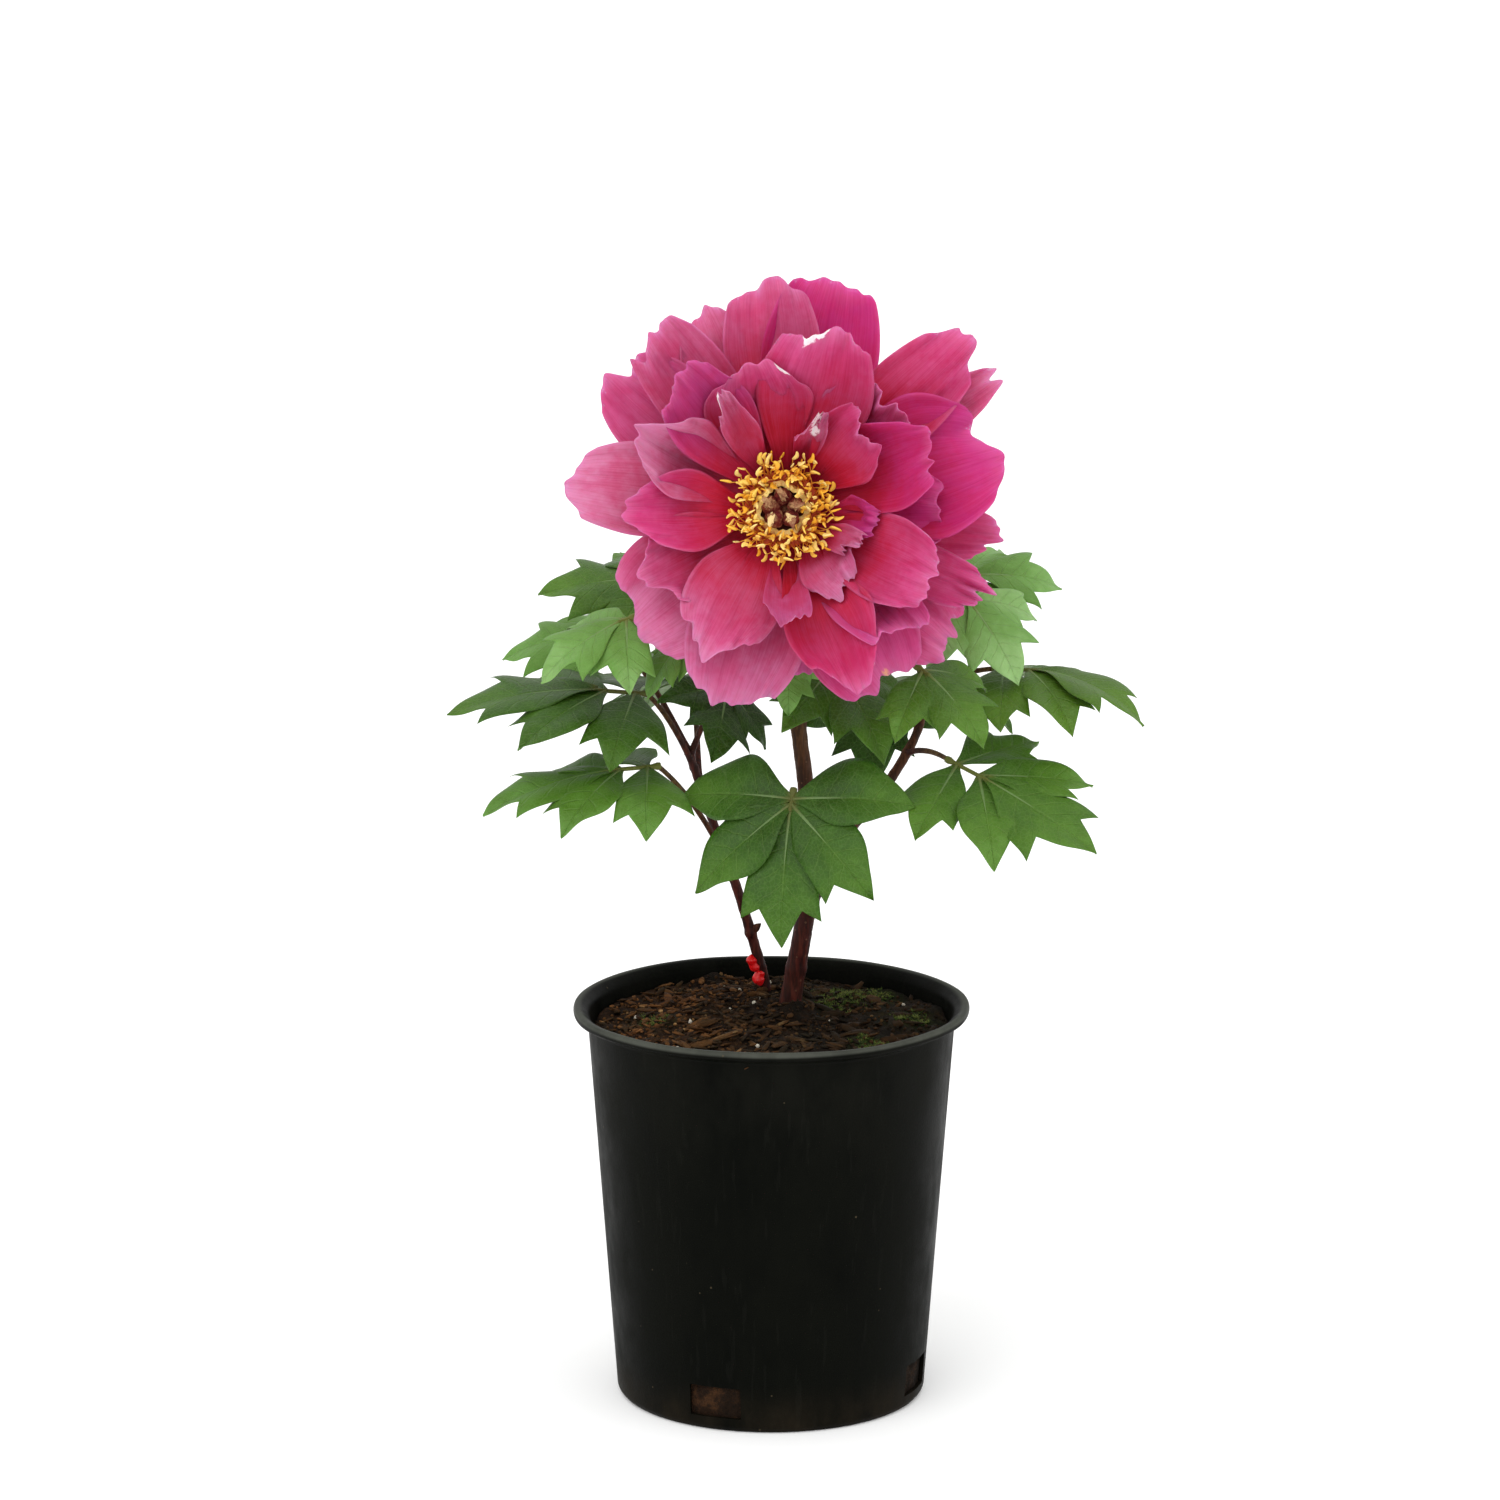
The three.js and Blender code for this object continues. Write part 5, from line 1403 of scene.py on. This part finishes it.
def petal_part(label, whorl, order, draw, own):
    clock, reach, width, dusty, violet, fringe = whorl["petals"][order]
    tilt = whorl["stagger"] * (1 if order % 2 else -1) + 2 * (draw() - 0.5)
    first, last = (math.radians(lean + tilt) for lean in whorl["lean"])
    phase, notch = TURN * draw(), NOTCH["spread"] * (2 * draw() - 1)
    sweep = PETAL["sweep"] * (draw() - 0.5)
    mean_sine = (math.cos(first) - math.cos(last)) / (last - first)
    length = (reach - whorl["root"]) / mean_sine
    bend = (last - first) / length
    rows, columns = whorl["grid"]
    flat_v, flat_u = np.linspace(0, 1, rows + 1)[:, None], np.linspace(-1, 1, columns + 1)
    u, v = rounded_end(flat_u, flat_v, lerp(0.62, 0.96, own()))
    angle = first + bend * v * petal_end(u, v, notch, fringe, own) * length
    half = whorl["fullness"] * width / 2 * petal_shape(v) * (1 + 0.025 * np.sin(9 * v + TURN * own()))
    waves = v * v * np.sin(4 * u + phase) + 0.5 * u * u * np.sin(6 * v + phase)
    sides = smooth(np.abs(flat_u), 0.45, 1.0) * smooth(flat_v, 0.15, 0.5)
    edge = (1.0 + 0.8 * fringe) * np.maximum(smooth(flat_v, 0.5, 1.0), sides)
    relief = petal_crinkles(u, v, edge, own) + petal_pose(u, v, half, whorl["poses"][order], own)
    for owner, petal, place, depth in FOLDS:
        if (owner, petal) == (label, order):
            relief = relief - depth * np.exp(-np.abs(u - place) / 0.14) * np.sin(math.pi * v) ** 0.7
    relief = 0.5 * whorl["cup"] * half * u * u + whorl["ruffle"] * length * waves * v + relief * v

    def surface(height):
        rise = relief + height
        outward = whorl["root"] + (math.cos(first) - np.cos(angle)) / bend - rise * np.cos(angle)
        forward = whorl["height"] + (np.sin(angle) - math.sin(first)) / bend + rise * np.sin(angle)
        across = half * u * (1 - 0.12 * whorl["cup"] * u * u) + sweep * v * v * length
        return at_clock(clock, outward, across, forward)

    inset = np.minimum((1 - flat_v) * 1.4, 1 - np.abs(flat_u))
    thin = lerp(0.07, 0.28, smooth(inset, 0.0, 0.12)) * lerp(1.5, 1.0, smooth(v, 0, 0.3))
    faded = sum(
        strength * bell(flat_u, across, 1.6 * spread) * bell(flat_v, along, 0.5 * spread)
        for owner, petal, across, along, spread, strength in SPOTS if (owner, petal) == (label, order)
    )
    marks = {"along": v, "across": flat_u, "dusty": dusty, "violet": violet, "petal": own(), "faded": faded}
    return on_flower(closed_sheet(surface(thin), surface(-thin), **marks))


def make_petals():
    draw, own = random_from(7), random_from(307)
    disc = [(0, 6.7, 0), (19, 6.7, 2), (23, 10.7, 2), (22, 15, 1.5), (0, 15, 0)]
    for label, whorl in WHORLS.items():
        parts = [petal_part(label, whorl, order, draw, own) for order in range(len(whorl["petals"]))]
        if label == "outer_petals":
            parts.append(flower_part(disc, 64, along=0.02, petal=0.3))
        add_to_plant(piece_from(label, parts, petal_pink), "petal_pink", "bloom_petals")


def anther_shape():
    """An anther: two lobes side by side, a little bowed, a unit long."""
    t = np.linspace(0.04, 0.96, 8)
    swell = 0.165 * np.sin(math.pi * t) ** 0.4 * (1 + 0.12 * np.sin(7 * t))

    def warp(ring, angle):
        lobes = 0.62 + 0.38 * np.abs(np.cos(angle))
        bow = 0.17 * np.sin(math.pi * ring[..., 2])
        return ring * points_at(1.15 * lobes, 0.75 * lobes, 1) + points_at(bow, 0, 0)

    points, faces, marks = turned_part([(0, 0), *zip(swell, t), (0, 1)], len(t), warp)
    return points / MM, faces, marks


def stamen(i, draw):
    """A stamen's thread as a line, then the place, aim and length of its anther."""
    share = (i + 0.5) / STAMENS["count"]
    turn = i * GOLDEN_ANGLE + 0.3 * (draw() - 0.5)
    lean = lerp(*STAMENS["lean"], share) + 14 * (draw() - 0.5)
    length = lerp(STAMENS["short"], STAMENS["long"], draw()) * (1 + STAMENS["taller"] * math.sin(turn) ** 2)
    bow, twist = 26 * (draw() - 0.5), 0.5 * (draw() - 0.5)
    step = length * lerp(0.46, 0.68, draw()) / 8
    t = np.linspace(0, 1, 9)
    lean_at, around = np.radians(lean + bow * t), turn + twist * t * t
    out = lerp(RING["inner"] + 1.2, RING["outer"] - 1.2, share) + np.cumsum([0, *np.sin(lean_at[1:]) * step])
    up = RING["low"] + 0.6 + np.cumsum([0, *np.cos(lean_at[1:]) * step])
    points = points_at(out * np.cos(around), out * np.sin(around), up)
    side = math.sin(lean_at[-1])
    aim = np.array([math.cos(around[-1]) * side, math.sin(around[-1]) * side, math.cos(lean_at[-1])])
    aim += 1.3 * np.array([draw() - 0.5, draw() - 0.5, 0.6 * (draw() - 0.5)])
    aim /= np.linalg.norm(aim)
    line = on_flower((points, lerp(0.42, 0.26, t), {"along": t}))
    return line, points[-1] - 0.6 * aim, aim, lerp(5.4, 8.2, draw()) * MM


def make_stamens():
    draw = random_from(23)
    found = [stamen(i, draw) for i in range(STAMENS["count"])]
    lines, tips, aims, sizes = zip(*found)
    threads = stems("threads", lines, 6, 0.05, 900.0, thread_orange)
    source = shown("tips", mesh_of("tips", [on_flower((np.array(tips), [], {"size": sizes}))], faced=False))
    turned_aims = np.array(aims) @ turned("X", 90 - FLOWER["tilt"]).T
    set_mark(source.data, "aim", turned_aims, "FLOAT_VECTOR", "vector")
    anther = piece_from("anther", [anther_shape()], stamen_gold)
    values = {"Anther": anther, "Seed": 5, "Finish": stamen_gold}
    anthers = grown("anthers", source, anther_tree, values, source, anther)
    inner, outer, low, high = (RING[k] for k in ("inner", "outer", "low", "high"))
    corners = [(0, low, 0), (outer, low, 1), (outer, high, 1.2), (inner, high - 0.4, 0.6), (0, high - 1.5, 0)]
    ring = piece_from("ring", [flower_part(corners, 64, along=0.05)], thread_orange)
    add_to_plant(joined("stamens", [anthers, threads, ring]), "stamen_gold", "bloom_stamens")


def make_sheath():
    radius, low, high = SHEATH["radius"], RING["low"], RING["low"] + SHEATH["height"]
    inner = radius - SHEATH["wall"]
    corners = [
        (0, low + 0.2, 0), (radius - 2, low + 0.2, 1), (radius, low + 2, 1), (radius, low + 5, 0),
        (radius + 0.2, high - 0.9, 0.5), (radius + 0.1, high + 0.5, 0.6), (inner - 1.5, high + 0.7, 0.5),
        (inner - 1.6, high - 0.8, 0.5), (inner, low + 5, 0), (inner, low + 2.2, 0.8),
        (0, low + SHEATH["floor"], 0),
    ]

    def warp(ring, angle):
        lift = smooth(ring[..., 2], low + 3, high)
        waves = 1.5 * np.sin(3 * angle) + 1.2 * np.sin(5 * angle + 2) + 0.8 * np.sin(11 * angle + 1)
        waves = waves + 0.5 * np.sin(23 * angle) + 1.6 * np.cos(angle - math.radians(120))
        folds = 0.07 * np.sin(4 * angle + 0.8) + 0.04 * np.sin(7 * angle + 2) + 0.03 * np.sin(17 * angle)
        ring[..., 2] += lift * waves
        ring[..., :2] *= (1 + lift * (folds - 0.04))[..., None]
        return ring

    points, faces, _ = turned_part(rounded(corners), 120, warp)
    part = on_flower((points, faces, {"rise": smooth(points[:, 2], low + 1, high - 2.5)}))
    add_to_plant(piece_from("sheath", [part], sheath_cream), "sheath_cream", "bloom_sheath")


def pod_part(height, radius, own):
    """A seed pod: a plump flask with a groove down one side, leaning a little."""
    t = np.linspace(0, 1, 22)
    body = np.interp(t, [0, 0.12, 0.5, 0.72, 0.88, 1], [0.5, 0.86, 0.92, 0.7, 0.42, 0.24]) * radius
    first, second = phases(own, 2)

    def warp(ring, angle):
        z = ring[..., 2]
        groove = 1 - 0.16 * bell(np.minimum(angle, TURN - angle), 0, 0.35)
        lumps = 1 + 0.06 * np.sin(3 * angle + z * 0.5 + first) + 0.04 * np.sin(7 * angle - z)
        ring[..., :2] *= (groove * lumps)[..., None]
        return ring + points_at(0.08 * z * math.cos(second), 0.08 * z * math.sin(second), 0)

    points, faces, _ = turned_part([(0, 0), *zip(body, t * height * 0.95), (0, height * 0.955)], 32, warp)
    return points, faces, {"rise": points[:, 2] / height * 0.75}


def crest_part(height, own):
    """The stigma: a wavy crest that curls over the top of a seed pod."""
    v, u = np.linspace(0, 1, 20)[:, None], np.linspace(-1, 1, 11)
    angle = lerp(-1.1, -0.5, own()) + lerp(2.2, 3.2, own()) * v
    first, second = phases(own, 2)
    arc, wide = lerp(2.4, 4.2, own()), lerp(1.0, 2.2, own())
    reach = wide * np.sin(math.pi * (0.1 + 0.84 * v)) * u * (1 + 0.16 * np.sin(11 * v + second))
    wave = (0.8 * np.sin(7 * v + first) + 0.4 * np.sin(15 * v + second)) * u
    wave = wave + 0.5 * np.sin(5 * u + second) * v
    out = points_at(np.sin(angle), 0, np.cos(angle))
    spine = points_at(-1, 0.8 * np.sin(3 * v + first) + reach, height * 0.86)
    middle = spine + (arc + wave)[..., None] * out
    return closed_sheet(middle - 0.3 * out, middle + 0.3 * out, rise=1.0, shade=own())


def make_carpels():
    low, count = RING["low"] + SHEATH["floor"] + 0.3, CARPELS["count"]
    own = random_from(91)
    parts = [flower_part([(0, low, 0), (8, low, 1), (9, low + 3, 1), (0, low + 4, 0)], 40, rise=0.1)]
    for i in range(count):
        turn = turned("Z", CARPELS["first_angle"] + 360 * i / count + 20 * (own() - 0.5))
        height = CARPELS["height"] * lerp(0.78, 1.04, own())
        radius = CARPELS["radius"] * lerp(0.85, 1.08, own())
        pod = pod_part(height, radius, own)
        crests = [moved(crest_part(height, own), turned("Z", 360 * own())) for _ in range(3)]
        for part in (pod, *crests):
            lean = turned("Y", CARPELS["lean"] + 8 * (own() - 0.4))
            leaning = moved(part, lean, (CARPELS["ring"], 0, low + 1))
            parts.append(on_flower(moved(leaning, turn)))
    add_to_plant(piece_from("carpels", parts, carpel_maroon), "carpel_maroon", "bloom_carpels")


def sepal_part(clock, own):
    """A sepal: a short green leaf that narrows to a point and curls back."""
    v, u = np.linspace(0, 1, 25)[:, None], np.linspace(-1, 1, 17)
    ranges = ((22, 34), (7, 9.5), (1, 7), (1.1, 2.2))
    long, wide, curl, point = (lerp(least, most, own()) for least, most in ranges)
    shape = 0.7 + 0.3 * np.sin(math.pi * np.minimum(v, 0.5)) - 0.98 * np.maximum(0, (v - 0.4) / 0.6) ** point
    ripple = 0.9 * v * np.sin(5 * u + 4 * v + TURN * own()) * u * u
    across = u * wide * np.maximum(shape, 0.02) + 3 * (own() - 0.5) * v * v
    forward = 3 - 3 * v * v - curl * v**4 - 1.5 * u * u * np.maximum(shape, 0) + ripple
    thin = lerp(0.4, 0.12, smooth(np.maximum(v, np.abs(u)), 0.8, 1.0))
    front, back = (at_clock(clock, 12 + long * v, across, forward + side) for side in (thin, -thin))
    return on_flower(closed_sheet(front, back, along=v, across=u))


def make_calyx():
    neck, radius, depth, sepals = 4.4, 16, 6.4, 5
    cup = [
        (0, 0.3, 0), (neck, 0.3, 1), (0.75 * radius, 0.4 * depth, 2), (radius, 0.8 * depth, 1),
        (radius, depth, 0.6), (0, depth, 0),
    ]
    own = random_from(45)
    parts = [flower_part(cup, 60, along=0.2)]
    parts += [sepal_part(-360 * i / sepals, own) for i in range(sepals)]
    add_to_plant(piece_from("calyx", parts, calyx_green), "calyx_green", "bloom_calyx")


# Tie


def make_tie():
    """A crumpled wrap on the cane's near side, with a knot that stands up from it to the left."""
    t = np.linspace(0, 1, 22)
    pieces = []
    for name, place, radius, length, below, lean, seed in TIE:
        first, second = phases(random_from(seed), 2)
        rise = (t - below) * length
        line = points_at(lean * rise + 0.5 * np.sin(6 * t + first), 0, rise) + place
        round_ends = np.sqrt(np.clip(1 - np.abs(2 * t - 1) ** 3, 0.04, 1))
        thickness = radius * round_ends * (1 + 0.12 * np.sin(11 * t + second))
        pieces.append(stems(name, [(line, thickness, {})], 22, 1.7, 210.0, tie_red))
    add_to_plant(joined("tie", pieces), "tie_red", "stem_tie")


# Stage


def make_floor():
    """A wide pale floor."""
    white = (1.0, 1.0, 1.0, 1.0)
    finish = Finish("pale_floor", 0.1, Emission_Color=white, Emission_Strength=0.08)
    soft = finish.grain(1.5, 1.0)
    skin = finish.mix(soft, (0.93, 0.93, 0.925, 1), (0.95, 0.95, 0.948, 1))
    spread = np.linspace(-FLOOR["reach"], FLOOR["reach"], FLOOR["cells"] + 1)
    row = len(spread)
    corners = [a for a in range(row * (row - 1)) if (a + 1) % row]
    mesh = bpy.data.meshes.new("floor")
    mesh.from_pydata(
        [(x, y, 0.0) for y in spread for x in spread], [], [(a, a + 1, a + 1 + row, a + row) for a in corners]
    )
    mesh.materials.append(finish.done(skin, soft.span(0.0, 1.0, 0.85, 0.95)))
    shown("floor", mesh)


def make_light(name, place, strength, spread):
    """A soft, even light that shines from a place to the origin."""
    light = bpy.data.lights.new(name, "SUN")
    light.energy, light.angle = strength, math.radians(spread)
    lamp = shown(name, light)
    lamp.location = place
    lamp.rotation_euler = (-Vector(place)).to_track_quat("-Z", "Y").to_euler()


def make_world():
    """White seen straight on, and a little less as light."""
    world = bpy.data.worlds.new("studio")
    bpy.context.scene.world = world
    world.use_nodes = True
    graph = Graph(world.node_tree)
    backdrop = world.node_tree.nodes["Background"].inputs
    backdrop["Color"].default_value = (1.0, 1.0, 1.0, 1.0)
    seen = graph.add("ShaderNodeLightPath", "Is Camera Ray")
    graph.feed(backdrop["Strength"], seen.span(0.0, 1.0, 0.92, 1.0))


def make_camera():
    """The photo's view, from a little above."""
    camera = bpy.data.cameras.new("camera")
    camera.lens, camera.sensor_width, camera.clip_end = CAMERA["lens"], CAMERA["sensor"], CAMERA["far"]
    made = shown("camera", camera)
    made.location = CAMERA["place"]
    made.rotation_euler = (math.radians(CAMERA["pitch"]), 0, 0)
    bpy.context.scene.camera = made
    bpy.context.scene.view_settings.view_transform = "Standard"


make_pot()
soil_piece = make_soil()
make_litter(soil_piece)
add_to_plant(soil_piece, "bark_mix", "potting_soil")
make_canes()
for leaf_order, leaf_plan in enumerate(LEAVES):
    make_leaf(leaf_order, leaf_plan)
for make_piece in (make_petals, make_stamens, make_sheath, make_carpels, make_calyx, make_tie):
    make_piece()
make_floor()
for light_plan in LIGHTS:
    make_light(*light_plan)
make_world()
make_camera()
